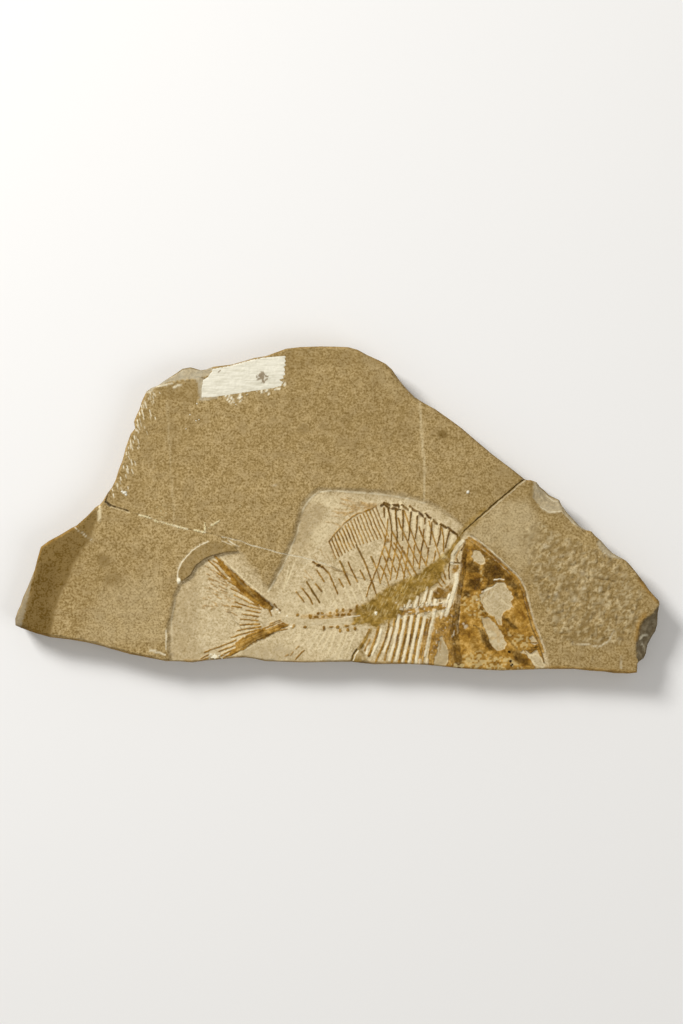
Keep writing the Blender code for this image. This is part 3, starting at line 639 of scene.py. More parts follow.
# %% Backbone
BACKBONE = [(284, 619.6), (297, 620.6), (310, 621.5), (335, 621.3), (353, 619.5)]
ARCHES_ABOVE = [
    (310.6, 616.4, 2.6, 2.6), (316, 617, 3.0, 1.2), (318, 613.6, 1.8, 1.3), (322.6, 613.4, 2.0, 1.3),
    (323, 616.8, 2.6, 1.1), (330, 613, 1.6, 1.6), (330, 616, 2.8, 1.8), (336.6, 611, 1.4, 2.4),
    (337, 615, 2.6, 2.0), (343, 610.6, 1.4, 2.6), (343, 615, 2.8, 1.6), (350.4, 611, 1.6, 2.8),
    (349, 614.6, 2.6, 1.4), (356.6, 607, 1.6, 3.0), (357, 611, 3.0, 1.8), (297.6, 615, 1.5, 1.3),
]
ARCHES_BELOW = [
    (324, 628.4, 1.5, 2.6), (331, 627.2, 2.2, 1.0), (337.6, 627, 1.5, 1.7), (340, 630.6, 1.3, 2.0),
    (347, 626, 2.6, 1.3), (347.6, 630, 1.4, 2.6), (354, 624, 2.4, 1.6), (355, 628.6, 1.6, 2.4),
    (304.6, 627, 2.0, 1.0),
]
NEURAL_SPINES = [
    [(356, 544.5), (361, 554), (367, 568), (371, 580), (377, 596)], [(340, 561), (344, 571), (350, 585)],
    [(348, 562), (352, 571), (357.5, 582)], [(360, 570), (365, 580)],
    [(322, 566), (329, 574), (333, 583), (337.4, 594)], [(317, 570), (324, 581.6)],
    [(339, 579), (343, 586.6)], [(315.6, 584), (321.5, 591.6)],
    [(306.4, 582), (312, 591), (319.5, 602.5)], [(302, 588.6), (308, 596), (312.6, 604)],
    [(296.4, 592), (303.8, 601.8)], [(313, 562), (322, 567)],
]
BLACK_SPINES = [
    [(306.4, 582), (319.5, 602.5)], [(340, 560.6), (344.6, 571)], [(356, 545), (363, 559)],
    [(371, 557), (373, 562)],
]
FAINT_SPINES = [
    [(304, 570), (313, 580)], [(304, 577), (309, 580)], [(313, 566), (316, 570)],
    [(300, 586), (303, 590)],
]
PALE_SPINES = [
    [(323, 590), (330, 606)], [(338, 594), (344, 608)], [(350, 585), (358, 604)],
    [(357.5, 582), (365, 600)], [(313, 604), (316, 611)], [(345, 588), (352, 606)],
    [(330, 590), (337, 606)], [(303, 601), (309, 611)], [(365, 580), (370, 592)],
    [(334, 603), (337, 609)], [(342, 603), (344, 607)], [(296, 560), (286, 585)],
    [(289, 566), (284, 590)],
]
PALE_BELOW = [
    [(309, 630), (298, 640)], [(315, 632), (303, 645)], [(321, 631), (310, 648)],
    [(326, 632), (315, 650)], [(332, 632), (322, 650)], [(336, 632), (328, 655)],
    [(343, 635), (335, 655)], [(349, 630), (338, 660)], [(356, 632), (345, 658)],
    [(360, 634), (359, 642)], [(303, 632), (294, 642)],
]
LOOSE_BELOW = [[(299, 646), (296, 649)], [(293, 652), (290.6, 656)], [(288, 655), (285, 657)]]
BACK_STROKES = [
    ([(344, 617.6), (360, 615.4)], 1.2, 1.0, 0.8, dict(dust=0.6, height=0.3)),
    ([(309, 618.4), (322, 618.6), (345, 616.8), (360, 614.4)], 1.0, 1.2, 0.8, 0.3,
     dict(bone=0.8, height=0.2)),
    ([(300, 617), (322, 620), (345, 618.6)], 0.9, 0.9, 0.8, dict(pale=0.6)),
    ([(325, 624.6), (352, 622)], 1.4, 1.4, 1.0, dict(pale=0.8)),
    ([(302, 617), (330, 615.4), (359, 610)], 3.0, 6.0, 2.4, 0.4, dict(bone=0.5, height=0.2)),
    ([(304, 651), (299, 655.4), (295.6, 659.5)], 1.6, 1.4, 0.8, dict(bone=1, dark=0.35, height=0.3)),
    ([(329, 567), (340, 571.6), (347, 572)], 1.6, 1.6, 1.0, 0.3, dict(bone=0.6, dark=0.25)),
]
BACK_DABS = [
    (318.5, 565.5, 2.4, 1.5, dict(bone=1, dark=1, height=0.3)),
    (387, 541, 4.6, 3.0, 0.2, dict(bone=0.8, dark=0.1, height=0.2)),
    (346, 575, 3.0, 2.4, 0.2, dict(bone=0.5, dark=0.1)),
]
FLANK = [(300, 560), (345, 560), (350, 612), (300, 610)]


def backbone(face):
    """The smooth band, the arches along it, the spines above and the impressions below."""
    face.line(BACKBONE, 7, 6, 2, stain=0.12, height=0.15)
    face.each(face.line, BACK_STROKES)
    for x, y, half_x, half_y in ARCHES_ABOVE + ARCHES_BELOW:
        face.spot(x, y, half_x + 0.5, half_y + 0.5, 0.45, bone=1.0, dark=0.28, height=0.34)
    face.lines(PALE_SPINES + PALE_BELOW, 1.9, 1.4, 1.4, 0.4, pale=0.85, height=0.08)
    face.lines(NEURAL_SPINES, 1.5, 1.5, 0.7, 0.1, bone=1.2, dark=0.4, height=0.36)
    face.lines(BLACK_SPINES, 1.4, 1.4, 0.8, 0.1, dark=0.9, glue=0.5)
    face.lines(FAINT_SPINES, 1.2, 1.0, 0.8, 0.4, bone=0.5, height=0.1)
    face.lines(LOOSE_BELOW, 1.5, 1.2, 0.8, 0.3, bone=0.7, dark=0.1, height=0.2)
    face.each(face.spot, BACK_DABS)
    face.flecks(FLANK, 3.0, 0.72, 38, stain=0.18)


print(f"backbone: {len(ARCHES_ABOVE + ARCHES_BELOW)} arches and {len(NEURAL_SPINES)} spines")

# %% [markdown]
# The ribs. Each is a brown blade with a cream strip of bare stone beside it, and all hang from a
# bar under the backbone down to the slab's lower edge. The strips stand a little proud, because the
# stone between two bones was left when the bone beside it flaked off.

# %% Ribs
RIBS = [
    [(369.6, 630), (367, 637), (363, 643), (360.6, 647)], [(369.8, 640), (367, 646), (364.6, 651)],
    [(378.6, 627), (376, 637), (373, 645), (368.6, 656)],
    [(389, 622), (388, 630), (385.6, 638), (382, 648), (378, 656), (375.6, 663)],
    [(394.6, 620), (392.6, 632), (390, 641), (386.6, 651), (385, 660)],
    [(401, 620), (400, 629), (397.4, 638), (395.6, 647), (391.8, 663)],
    [(408.6, 617), (406.6, 628), (404.6, 638), (401.8, 650), (399, 664)],
    [(415, 615), (412.6, 628), (409.6, 642), (405.6, 664)],
    [(421.4, 618), (418.4, 633), (415.6, 647), (411.8, 665)],
    [(427.4, 620), (425, 632), (422.4, 646), (418.8, 665)],
    [(431, 618), (428.2, 630), (425, 645), (422.4, 665)],
    [(433.4, 634), (431.6, 645), (429.8, 655), (428.6, 667)], [(438.6, 640), (436.4, 650), (433, 662)],
]
RIB_WIDTHS = (2.4, 1.8, 2.4, 2.0, 2.2, 2.6, 2.6, 2.8, 2.8, 3.0, 2.2, 3.0, 2.6)
BARE_STRIPS = [
    [(398.8, 615), (397, 630), (394, 645), (389.6, 660)],
    [(406, 614), (404, 626), (400.8, 640), (396, 660)],
    [(412, 617), (409.4, 632), (406.4, 646), (402.6, 662)],
    [(419, 616), (415.6, 632), (412.4, 648), (408.6, 664)],
    [(425.8, 616), (423, 628), (419.4, 642), (415.4, 664)],
    [(434.6, 611), (432, 622), (428.8, 636), (424.8, 656)], [(443, 611), (441, 618)],
    [(391.6, 628), (388.8, 640), (384, 652)], [(381, 630), (378, 642), (372, 655)],
    [(368, 647), (366, 654)], [(427.6, 660), (426.6, 667)], [(420, 660), (418.6, 666)],
]
RIB_SHADES = [
    [(386.8, 633), (384.2, 643)], [(405.8, 634), (403.4, 645)], [(400.8, 650), (399.6, 660)],
    [(430.4, 620), (427.2, 634)], [(429.4, 652), (428.4, 666)], [(417.2, 634), (415, 646)],
    [(411, 634), (408.6, 648)], [(368.6, 632), (364, 642)], [(397.4, 616), (395.6, 622)],
    [(388.6, 622), (387.6, 631)],
]
RIB_BAR = [(396, 614), (410, 611.6), (424, 609.6), (438, 607.6), (450, 606)]
RAYS_ABOVE = [
    [(419.4, 596), (417.6, 608)], [(429, 589), (426, 600), (423.6, 608)], [(433.4, 596), (431, 605)],
    [(411.6, 603), (410.4, 609)], [(440, 600), (439.6, 606)], [(421, 588), (419, 597)],
]
BARE_ABOVE = [
    [(427, 588), (424.6, 598), (421.6, 607)], [(431.6, 592), (430, 600), (427.6, 606)],
    [(418, 597), (415, 607)], [(410, 601), (406.6, 609)], [(436, 600), (434.6, 605)],
    [(444, 602), (443.4, 606)], [(447, 601), (446, 606)],
]
FIN_ROOT = [
    (433, 592), (438, 588), (443, 589.6), (450, 584), (455, 585), (452, 592), (446, 598),
    (439, 599), (433, 597),
]
RIB_FLECKS = [
    ([(394, 606), (450, 600), (452, 614), (400, 618)], 2.4, 0.62, 39, dict(dark=0.45, height=0.45)),
    ([(394, 602), (450, 600), (452, 612), (400, 616)], 2.2, 0.76, 40, dict(dust=0.5, height=0.5)),
]
FIN_CHIP = [(449.6, 595), (448, 599)]
RIB_CHIP = (375.8, 613)


def ribs(face):
    """The ribs and the strips between them, the bar and the root of the side fin."""
    face.lines(BARE_STRIPS + BARE_ABOVE, 2.6, 2.2, 1.0, 0.35, dust=0.55, pale=0.8, height=0.30)
    for rib, width in zip(RIBS, RIB_WIDTHS):
        face.line(rib, width, width, 1.2, 0.15, bone=1.1, dark=0.12, height=0.36)
    face.lines(RIB_SHADES, 1.5, 1.1, 0.8, 0.2, dark=0.7)
    face.line(RIB_BAR, 5.0, 6.0, 2.4, 0.15, bone=1.2, dark=0.1, height=0.38)
    face.each(face.flecks, RIB_FLECKS)
    face.lines(RAYS_ABOVE, 1.7, 1.4, 0.8, 0.2, bone=0.9, dark=0.3, height=0.3)
    face.patch(FIN_ROOT, 2.0, 0.5, 3, bone=0.95, dark=0.45, height=0.42)
    face.line(FIN_CHIP, 2.2, 1.6, 0.8, dust=1.0, height=0.5)
    face.spot(*RIB_CHIP, 1.8, 2.2, dust=1.0, height=0.5)


print(f"ribs: {len(RIBS)}, with {len(BARE_STRIPS)} bare strips")

# %% [markdown]
# The head. Skull, shoulder and gill cover are thin plates, ochre where the bone is whole and nearly
# black where it is burnt dark, and windows show the bare stone: eye, cheek, nape, gill, mouth and a
# chip of the snout. The plates come first, then the stains on them. Then the windows are cleared,
# and the jaw, the teeth and the worn spots are drawn last.

# %% Head
SKULL = [
    (466, 539), (473, 541.6), (480, 546.6), (487, 553), (494, 559.6), (501, 566), (508, 572), (514, 577),
    (519, 583), (522, 590), (524.4, 598), (526, 608), (528, 616), (530.6, 625), (534, 634), (538, 642),
    (541, 650), (544, 662), (541, 657), (537, 650), (531, 653), (525, 650.5), (530, 658),
    (535, 667), (534, 672), (460, 672), (456, 650), (459, 628), (461, 600), (462, 575), (463, 552),
]
ROOF = [
    (469, 538), (480, 544.6), (490, 553), (503, 565), (513, 574.4), (519.6, 582), (524, 591), (527, 603),
    (532, 622), (538, 638), (543, 652),
]
SHOULDER = [
    (466.5, 541), (464, 555), (463, 570), (460.5, 588), (458, 600), (455.6, 614), (454.6, 630),
    (456, 646), (459, 665),
]
SHOULDER_PALE = [
    [(463, 541), (457, 547), (453, 555), (452, 563)],
    [(457, 574), (456.4, 583), (453.4, 593), (449.6, 606), (446, 616)],
]
GILL_PLATE = [
    (447, 612), (456, 608), (460, 668), (428, 668), (432, 640), (436, 618),
]
GILL_COVER = [(462, 628), (478, 629), (486, 646), (488, 664), (472, 668), (460, 660)]
JAW = [
    (480, 606), (487, 615), (494, 620.6), (500, 629), (505, 635), (511, 642), (517, 650), (524, 657),
    (532, 666),
]
SNOUT = [(526, 606), (529, 617), (532, 628), (536, 637), (539, 644), (541, 652), (544, 662)]
EYE = [
    (480, 595), (484, 590), (490, 587), (496, 583), (504, 582.4), (507, 587), (511, 592), (514, 598),
    (511, 601), (513, 607), (507, 610.5), (503, 613.5), (501, 619), (503, 627), (499, 625), (494, 617),
    (487, 612), (482, 604),
]
NAPE_WINDOW = [
    (472, 551), (476, 549.5), (480, 551), (484, 556), (485, 563), (481, 565), (475, 562.4), (471.6, 557),
]
CHEEK_WINDOW = [
    (482, 618), (488, 617.4), (493, 621.4), (498, 628), (503, 635.6), (507, 644), (505, 650), (499, 651),
    (494, 648), (490, 642), (487, 634), (482.6, 624),
]
GILL_WINDOW = [
    (441.6, 636), (445, 643), (449, 651), (448, 660), (446, 666), (434, 666), (435, 658), (437.6, 650),
    (439, 642),
]
MOUTH = [
    (518, 652), (526, 655), (532, 661), (538, 667), (545, 667), (541, 658), (536, 655), (530, 656),
    (524, 651),
]
SNOUT_PALE = [(530, 638), (533, 636), (538, 644), (535, 645), (531, 643)]
SPECKLED_LIGHT = [(461, 596), (478, 592), (484, 606), (492, 617), (480, 620), (470, 616), (461, 608)]
DARK_PATCHES = [
    [(465, 563), (472, 560.6), (480, 565), (479.6, 573), (470, 573), (465, 570)],
    [(483, 565), (490, 556.6), (500, 566), (504, 572), (503, 578), (495, 581), (488, 582), (483, 575)],
    [(468, 580), (480, 577), (481, 589), (474, 590), (466, 586)],
    [(500, 568), (512, 578), (519, 586), (516, 592), (506, 583)],
    [(464, 590), (472, 591), (470, 597), (463, 597)], [(488, 577), (496, 580), (494, 585), (484, 589)],
    [(514, 590), (518, 593), (518, 599), (514, 596)], [(502, 617), (509, 619), (518, 629), (511, 628)],
    [(479, 629), (484, 631), (490, 641), (495, 650), (488, 650), (482, 640)],
    [(510, 650), (518, 651), (526, 658), (531, 666), (518, 664)],
]
OCHRE_PATCHES = [
    [(503, 613), (512, 608), (526, 606), (530, 622), (533, 638), (524, 638), (510, 630)],
    [(461, 630), (476, 631), (482, 646), (484, 662), (466, 664)],
    [(462, 608), (478, 608), (484, 616), (470, 622), (462, 620)],
    [(512, 598), (519, 598), (520, 606), (513, 606)],
    [(468, 541), (476, 545), (484, 553), (488, 560), (478, 548)],
]
GOLD_PATCHES = [
    [(478, 565), (483, 568), (483, 580), (487, 588), (482, 587), (480, 576)],
    [(486, 554), (492, 560), (486, 564)], [(462, 656), (480, 650), (494, 656), (490, 666), (466, 668)],
    [(508, 632), (528, 636), (530, 648), (514, 648)],
]
LOWER_EDGE = [(452, 664), (470, 660), (496, 657), (510, 657), (520, 666), (530, 672), (452, 672)]
TEETH = [
    [(526.4, 643), (531, 642.4), (537, 642.8)], [(526.4, 646), (532, 648)], [(533, 647.6), (538, 646.4)],
    [(528, 650.6), (534, 650), (538.6, 649)], [(524, 648), (530, 653)],
]
HEAD_CREVICES = [
    [(451, 562), (458, 562.6), (465, 563.4)], [(457, 558.6), (457.6, 562)],
    [(466, 543), (463, 547.6), (461, 550)], [(462.6, 552), (464.6, 562), (463, 580), (461, 592)],
    [(466, 554), (465.4, 575)], [(502, 617.6), (509, 622), (514, 628)], [(494, 581.6), (503, 581)],
    [(478, 628), (484, 636), (489, 645), (492, 650)], [(481, 628), (487, 637)],
    [(474, 625), (480, 628.6)], [(458, 596), (456, 612), (457.6, 625)],
    [(460, 606), (458, 620), (459, 634)], [(453, 616), (452.4, 626)],
    [(450.6, 630), (454, 640), (456.6, 646)], [(480, 590), (489, 589)], [(479, 606), (488, 615.6)],
]
WINDOW_PALE = [
    [(483, 600), (488, 606)], [(487, 594), (486, 603)], [(502, 600), (511, 607)],
    [(494, 591), (490, 598)],
]
WINDOW_BONE = [
    [(490, 591), (486, 597)], [(484, 597), (482, 601)], [(499, 620), (501, 627)],
    [(441, 642), (440, 652)],
]
SKULL_SPOTS = [(466, 627, 2.6), (463.6, 623.6, 1.6), (477, 600, 1.4)]
HEAD_STROKES = [
    ([(474, 546), (488, 558), (500, 568), (513, 580), (519, 588)], 3.0, 3.4, 2.5, 0.3,
     dict(dark=0.6, height=0.7)),
    ([(470, 541.6), (486, 554), (503, 568.6), (518, 582), (523, 594)], 1.3, 1.5, 0.9, 0.3,
     dict(dark=0.7, height=0.7)),
]
NECK_SCALE = [(459, 551), (456.6, 556), (456, 560)]
NECK_PLATE = [(452, 565), (459, 565), (458, 573), (453, 573)]
CHEEK_STAIN = [(483, 619), (489, 619), (493, 626), (487, 628)]
FACE_STROKES = [
    ([(494, 580), (500, 578.8), (504, 579.6)], 1.3, 1.0, 0.7, dict(dust=1.0, height=0.7)),
    ([(482, 592), (490, 588.6), (496, 584.6)], 1.2, 0.8, 0.8, dict(dust=0.7)),
]
FACE_DABS = [
    (509.5, 652, 2.0, 1.5, dict(dark=1.6, bone=1)),
    (511, 661.4, 2.0, 1.9, dict(dark=1.6, bone=1)),
    (512, 665, 2.0, 2.0, dict(dark=1.6, bone=1)),
    (536, 647.6, 2.2, 1.4, dict(dark=0.8, bone=1)),
]


def head(face):
    """The plates, what is stained on them, the windows down to the stone and a painted highlight by the
    roof.
    """
    face.patch(GILL_PLATE, 3.0, 0.2, 3, bone=0.95, height=0.4)
    face.patch(GILL_PLATE, 3.0, 0.4, 4, stain=0.5, dark=0.2)
    face.flecks(GILL_PLATE, 2.0, 0.60, 41, dark=0.4, height=0.45)
    face.flecks(GILL_PLATE, 2.2, 0.90, 42, dust=0.4, height=0.45)
    face.line(ROOF, 2.6, 2.2, 0.8, 0.15, bone=1.1, dark=0.12, height=0.45)
    face.patch(SKULL, 1.2, 0.12, 3, bone=1.1, height=0.5)
    face.patch(GILL_COVER, 3.0, bone=1.0, height=0.62)
    for outline in OCHRE_PATCHES:
        face.patch(outline, 4.0, 0.25, 5, stain=0.42)
    for outline in DARK_PATCHES:
        face.patch(outline, 4.0, 0.2, 5.0, dark=0.82, height=0.6)
    face.flecks(SKULL, 4.5, 0.66, 43, dark=0.25, height=0.55)
    face.flecks(LOWER_EDGE, 1.8, 0.56, 44, fresh=0.55, height=0.55)
    face.flecks(LOWER_EDGE, 2.4, 0.62, 49, bone=0.6, stain=0.3)
    for outline in GOLD_PATCHES + [SPECKLED_LIGHT]:
        face.flecks(outline, 2.0, 0.62, 45, fresh=0.5, height=0.55)
    face.each(face.line, HEAD_STROKES)
    face.line(SHOULDER, 4.4, 8.0, 2.0, 0.45, bone=0.95, dark=0.7, height=0.7)
    for strip in SHOULDER_PALE:
        beside = [(p[0] + 1.6, p[1]) for p in strip] + [(p[0] - 2.0, p[1]) for p in strip[::-1]]
        face.clear(beside, 1.2, 0.0, ("bone", "dark", "glue"))
        face.line(strip, 3.8, 3.0, 1.2, 0.3, pale=1.0, dust=0.5, height=0.45)
    face.line(NECK_SCALE, 1.6, 1.6, 1.0, bone=0.9, dark=0.1)
    face.patch(NECK_PLATE, 1.6, 0.5, 2.2, bone=0.9, dark=0.2)
    face.lines(HEAD_CREVICES, 1.4, 1.2, 0.9, 0.25, bone=1.0, dark=0.95, height=0.6)
    for window in (EYE, NAPE_WINDOW, CHEEK_WINDOW, GILL_WINDOW, MOUTH, SNOUT_PALE):
        face.clear(window)
        face.line(closed(window), 1.8, 1.8, 1.2, 0.3, pale=0.9)
        face.patch(window, 1.6, 0.5, 5, stain=0.20)
    face.lines(WINDOW_PALE, 1.4, 1.0, 1.2, 0.3, pale=1.0, height=0.1)
    face.lines(WINDOW_BONE, 1.4, 1.0, 1.0, 0.3, bone=0.5, dark=0.1)
    face.flecks(CHEEK_WINDOW, 3.0, 0.58, 46, bone=0.3)
    face.patch(CHEEK_WINDOW, 2.0, 0.4, 4, pale=0.5)
    face.patch(CHEEK_STAIN, 2.0, 0.3, 3, bone=0.35)
    face.each(face.line, FACE_STROKES)
    face.line(JAW[:4], 1.3, 1.5, 0.9, 0.2, bone=0.9, dark=0.1, height=0.5)
    face.line(JAW[3:], 2.0, 2.6, 1.0, 0.3, bone=0.95, dark=0.5, height=0.6)
    face.line(SNOUT, 1.2, 1.4, 0.8, bone=1, dark=0.75, height=0.6)
    face.lines(TEETH, 1.3, 1.1, 0.7, bone=1, dark=0.45, height=0.7)
    # Painted highlight along the hollow's lit wall beside the skull roof.
    face.line([(x + 2.0, y - 1.8) for x, y in ROOF[:6]], 1.0, 0.9, 0.9, 0.3, dust=0.6)
    face.line([(x + 2.6, y - 0.6) for x, y in ROOF[5:]], 1.0, 0.9, 0.9, 0.4, dust=0.4)
    face.each(face.spot, FACE_DABS)
    for x, y, size in SKULL_SPOTS:
        face.spot(x, y, size, edge=0.4, pale=0.9, dust=0.4, height=0.6)


print(f"head: {len(HEAD_CREVICES)} crevices and {len(TEETH)} teeth")

# %% [markdown]
# The glue. Where the break runs through the fish, old glue has soaked in and left an olive band
# over bone and stone alike, thickest under the nape. It is a stain with a slight crust, so it is
# drawn over the bones. Short pale strokes, thrown at random, are where the crust is scratched.

# %% Glue
GLUE = [
    (356, 609), (366, 603), (378, 594), (390, 585), (402, 580), (418, 574), (430, 564), (442, 556),
    (450, 549), (459, 538), (464, 532), (461, 541), (455, 551), (450, 560), (444, 570), (440, 582),
    (430, 588), (422, 594), (412, 602), (402, 609), (398, 618), (388, 622), (376, 628), (366, 624),
    (352, 624),
]
GLUE_CORE = [
    (362, 611), (380, 600), (392, 588), (410, 580), (420, 584), (404, 600), (392, 612), (372, 620),
]
GLUE_FOOT = [
    (374, 626), (371, 634), (366, 642), (362, 650), (366, 660), (353, 664), (350, 660), (356, 650),
    (364, 638),
]
GLUE_SCRATCHES = 110
GLUE_CORNER, GLUE_REACH = (362, 572), (74, 48)
GLUE_STROKES = [
    ([(357, 611), (366, 608.6), (376, 611)], 2.4, 2.0, 1.2, 0.2, dict(dark=0.6, glue=1.0)),
    ([(457, 540), (452, 549), (446, 554), (440, 558), (434, 566), (428, 572)], 1.8, 1.8, 1.0,
     dict(dark=0.6, glue=1.0)),
    ([(460, 534), (472, 521), (485, 509)], 6, 4, 4, 0.4, dict(glue=0.8)),
]
GLUE_BEAD = (444, 556)


def glue(face):
    """The olive band along the break, and the yellow bead where it is thickest."""
    face.patch(GLUE, 6.0, glue=0.85, height=0.1)
    face.patch(GLUE, 5.0, 0.4, 2.8, glue=1.1, dark=0.12)
    face.patch(GLUE_CORE, 5.0, 0.2, 3.0, glue=1.0, height=0.3)
    face.flecks(GLUE, 2.8, 0.60, 47, dark=0.4, height=0.3)
    throw = np.random.default_rng(14)
    for _ in range(GLUE_SCRATCHES):
        x = GLUE_CORNER[0] + GLUE_REACH[0] * throw.random()
        y = GLUE_CORNER[1] + GLUE_REACH[1] * throw.random()
        if depth_inside(np.array([x]), np.array([y]), GLUE)[0] > 1:
            length, amount = 2 + 4 * throw.random(), 0.3 + 0.35 * throw.random()
            stroke = [(x, y), (x + 0.4 * length, y - 0.9 * length)]
            face.line(stroke, 1.0, 0.8, 0.8, 0.2, fresh=amount, height=0.3)
    face.patch(GLUE_FOOT, 3.0, 0.3, 2.4, glue=0.75)
    face.each(face.line, GLUE_STROKES)
    face.line(BREAK_HEAD_HIGH[5:9], 2.6, 2.4, 1.6, glue=0.95)
    face.spot(*GLUE_BEAD, 3.6, 2.8, 0.3, glue=1.3, fresh=0.7, height=0.5)


print(f"glue: up to {GLUE_SCRATCHES} scratches")

# %% [markdown]
# The stone. The face is a natural parting of the layers, almost flat but finely pitted. The hollow
# round the fish lies 1.2 mm deeper, and its wall is steep along the back of the head and soft where
# the tool was drawn out to a feather edge. A crescent of stone was left standing over the tail. The
# right end has flake scars and a patch of pits, and the far tip is broken off grey.

# %% Hollow and other shapes in the stone
HOLLOW_DEPTH = 1.2
FISH = [
    (205, 556), (222, 556), (250, 582), (270, 598), (282, 590), (300, 562), (320, 541), (330, 500),
    (345, 496), (400, 497), (440, 512), (470, 536), (500, 560), (540, 640), (548, 680), (280, 680),
    (240, 664), (196, 668), (194, 640), (199, 600), (200, 575),
]
WORN_FLOOR = 0.70
HOLLOW = [
    (176, 700), (172, 662), (170, 650), (169, 636), (171, 620), (172.4, 609), (175, 597),
    (179, 587), (184, 578), (188, 572), (196, 565), (206, 558), (213, 555), (225, 552.6),
    (237, 551.4), (243, 557), (248, 565), (259, 580), (268, 589.6), (275, 580), (283, 565),
    (290, 549), (297, 531), (300.5, 520), (302, 511), (306, 503), (311, 496.5), (320, 491),
    (340, 491), (366, 492.4), (392, 495), (406, 497.5), (418, 500.5), (430, 504.6), (440, 510),
    (450, 516), (457, 521), (465, 528), (471, 536), (482, 544.6), (496, 557.4), (510.4, 570),
    (522, 581.4), (527.6, 597), (531.4, 615), (537.4, 632.5), (544.4, 648.5), (549, 664), (551, 700),
]
WALLS = [
    ((300, 520), 7), ((312, 495), 7), ((340, 490), 6), ((380, 494), 7), ((418, 500), 7), ((440, 511), 6),
    ((457, 521), 4), ((480, 543), 2.5), ((501, 562), 2.5), ((521, 580), 2.5),
    ((530, 608), 2.5), ((545, 650), 3), ((275, 578), 6), ((240, 556), 8), ((250, 570), 9),
    ((196, 564), 2), ((172, 609), 5), ((169, 640), 5), ((290, 545), 7),
]
TAB = [
    (177, 580), (177.6, 572), (181, 563.5), (186, 557), (192, 551), (200, 545), (210, 541),
    (222, 541.4), (233, 546), (238, 551.4), (225, 552.6), (213, 555), (205, 558), (202, 561),
    (196, 566), (191, 575), (186, 579), (181, 582),
]
# The tab's lit outer edge is a painted highlight, and the line below it a painted shadow.
TAB_LIT_EDGE = [(177.4, 580), (177.6, 572), (181, 563.5), (186, 557), (192, 551), (200, 545), (209, 541)]
TAB_SHADOW = [
    (186.6, 578), (191, 574.6), (196, 566), (202, 560.6), (206, 557.6), (214, 554.8), (224, 552.8),
]
CHIP = [
    (148, 394), (157, 386.6), (165, 383.6), (180, 380), (195, 378.6), (205, 376.6), (210, 374),
    (213, 366), (212, 350), (180, 350), (150, 370), (140, 392),
]
TIP_BREAK = [
    (661, 604), (652, 614), (645, 619), (641, 625), (638, 635), (636.4, 645), (636.4, 655),
    (638, 661), (636.6, 672), (641, 680), (668, 680), (672, 600),
]
TIP_LEDGE = [
    (658, 612), (650, 622), (647, 634), (640, 641), (643, 655), (641, 663), (668, 670), (672, 606),
]
FLAKES = [
    ([(532, 476), (534, 486), (533, 498), (541, 508), (549, 512), (562, 511.4), (570, 500), (560, 476)],
     0.25, 0.075),
    ([(536.6, 480), (537, 487), (542, 498), (550.5, 502), (556, 503.6), (566, 505), (560, 476)], 0.30,
     0.10),
    ([(561, 508), (566, 517), (574, 524), (584, 530), (594, 526), (578, 508)], 0.25, 0.10),
    ([(597, 541), (600, 549), (604, 553.6), (610, 557), (619, 559), (630, 556), (612, 530)], 0.25, 0.10),
    (CHIP, 0.30, 0.14), (TIP_BREAK, 0.55, 0.09), (TIP_LEDGE, 0.45, 0.10),
]
FLAKE_REACH = 13
POINTS_AT_ONCE = 20000
PITTED = [
    (520, 528), (540, 522), (562, 536), (592, 548), (620, 566), (642, 592), (640, 622), (622, 646),
    (590, 642), (560, 640), (545, 612), (532, 580),
]


def bevel_width(x, y):
    """How wide the broken bevel is at each point, from the nearest rim corner's own width."""
    corners = np.array(WHOLE_RIM)
    widths = np.empty(len(x))
    for start in range(0, len(x), POINTS_AT_ONCE):
        part = slice(start, start + POINTS_AT_ONCE)
        away = np.hypot(x[part, None] - corners[:, 0], y[part, None] - corners[:, 1])
        weight = 1 / (away + 2) ** 4
        widths[part] = (weight * corners[:, 2]).sum(1) / weight.sum(1)
    return widths


def wall_width(x, y):
    """How wide the hollow's wall is at each point, in pixels."""
    total, weight_sum = np.zeros(len(x)), np.zeros(len(x))
    for (cx, cy), width in WALLS:
        weight = 1 / (np.hypot(x - cx, y - cy) + 4) ** 3
        total += weight * width
        weight_sum += weight
    return total / weight_sum


def worms(x, y, size, shift):
    """Winding grooves of about this width: 1 along them and 0 between."""
    return ease(1 - np.abs(2 * rough(x, y, 2 * size, shift) - 1), 0.72, 1.0)


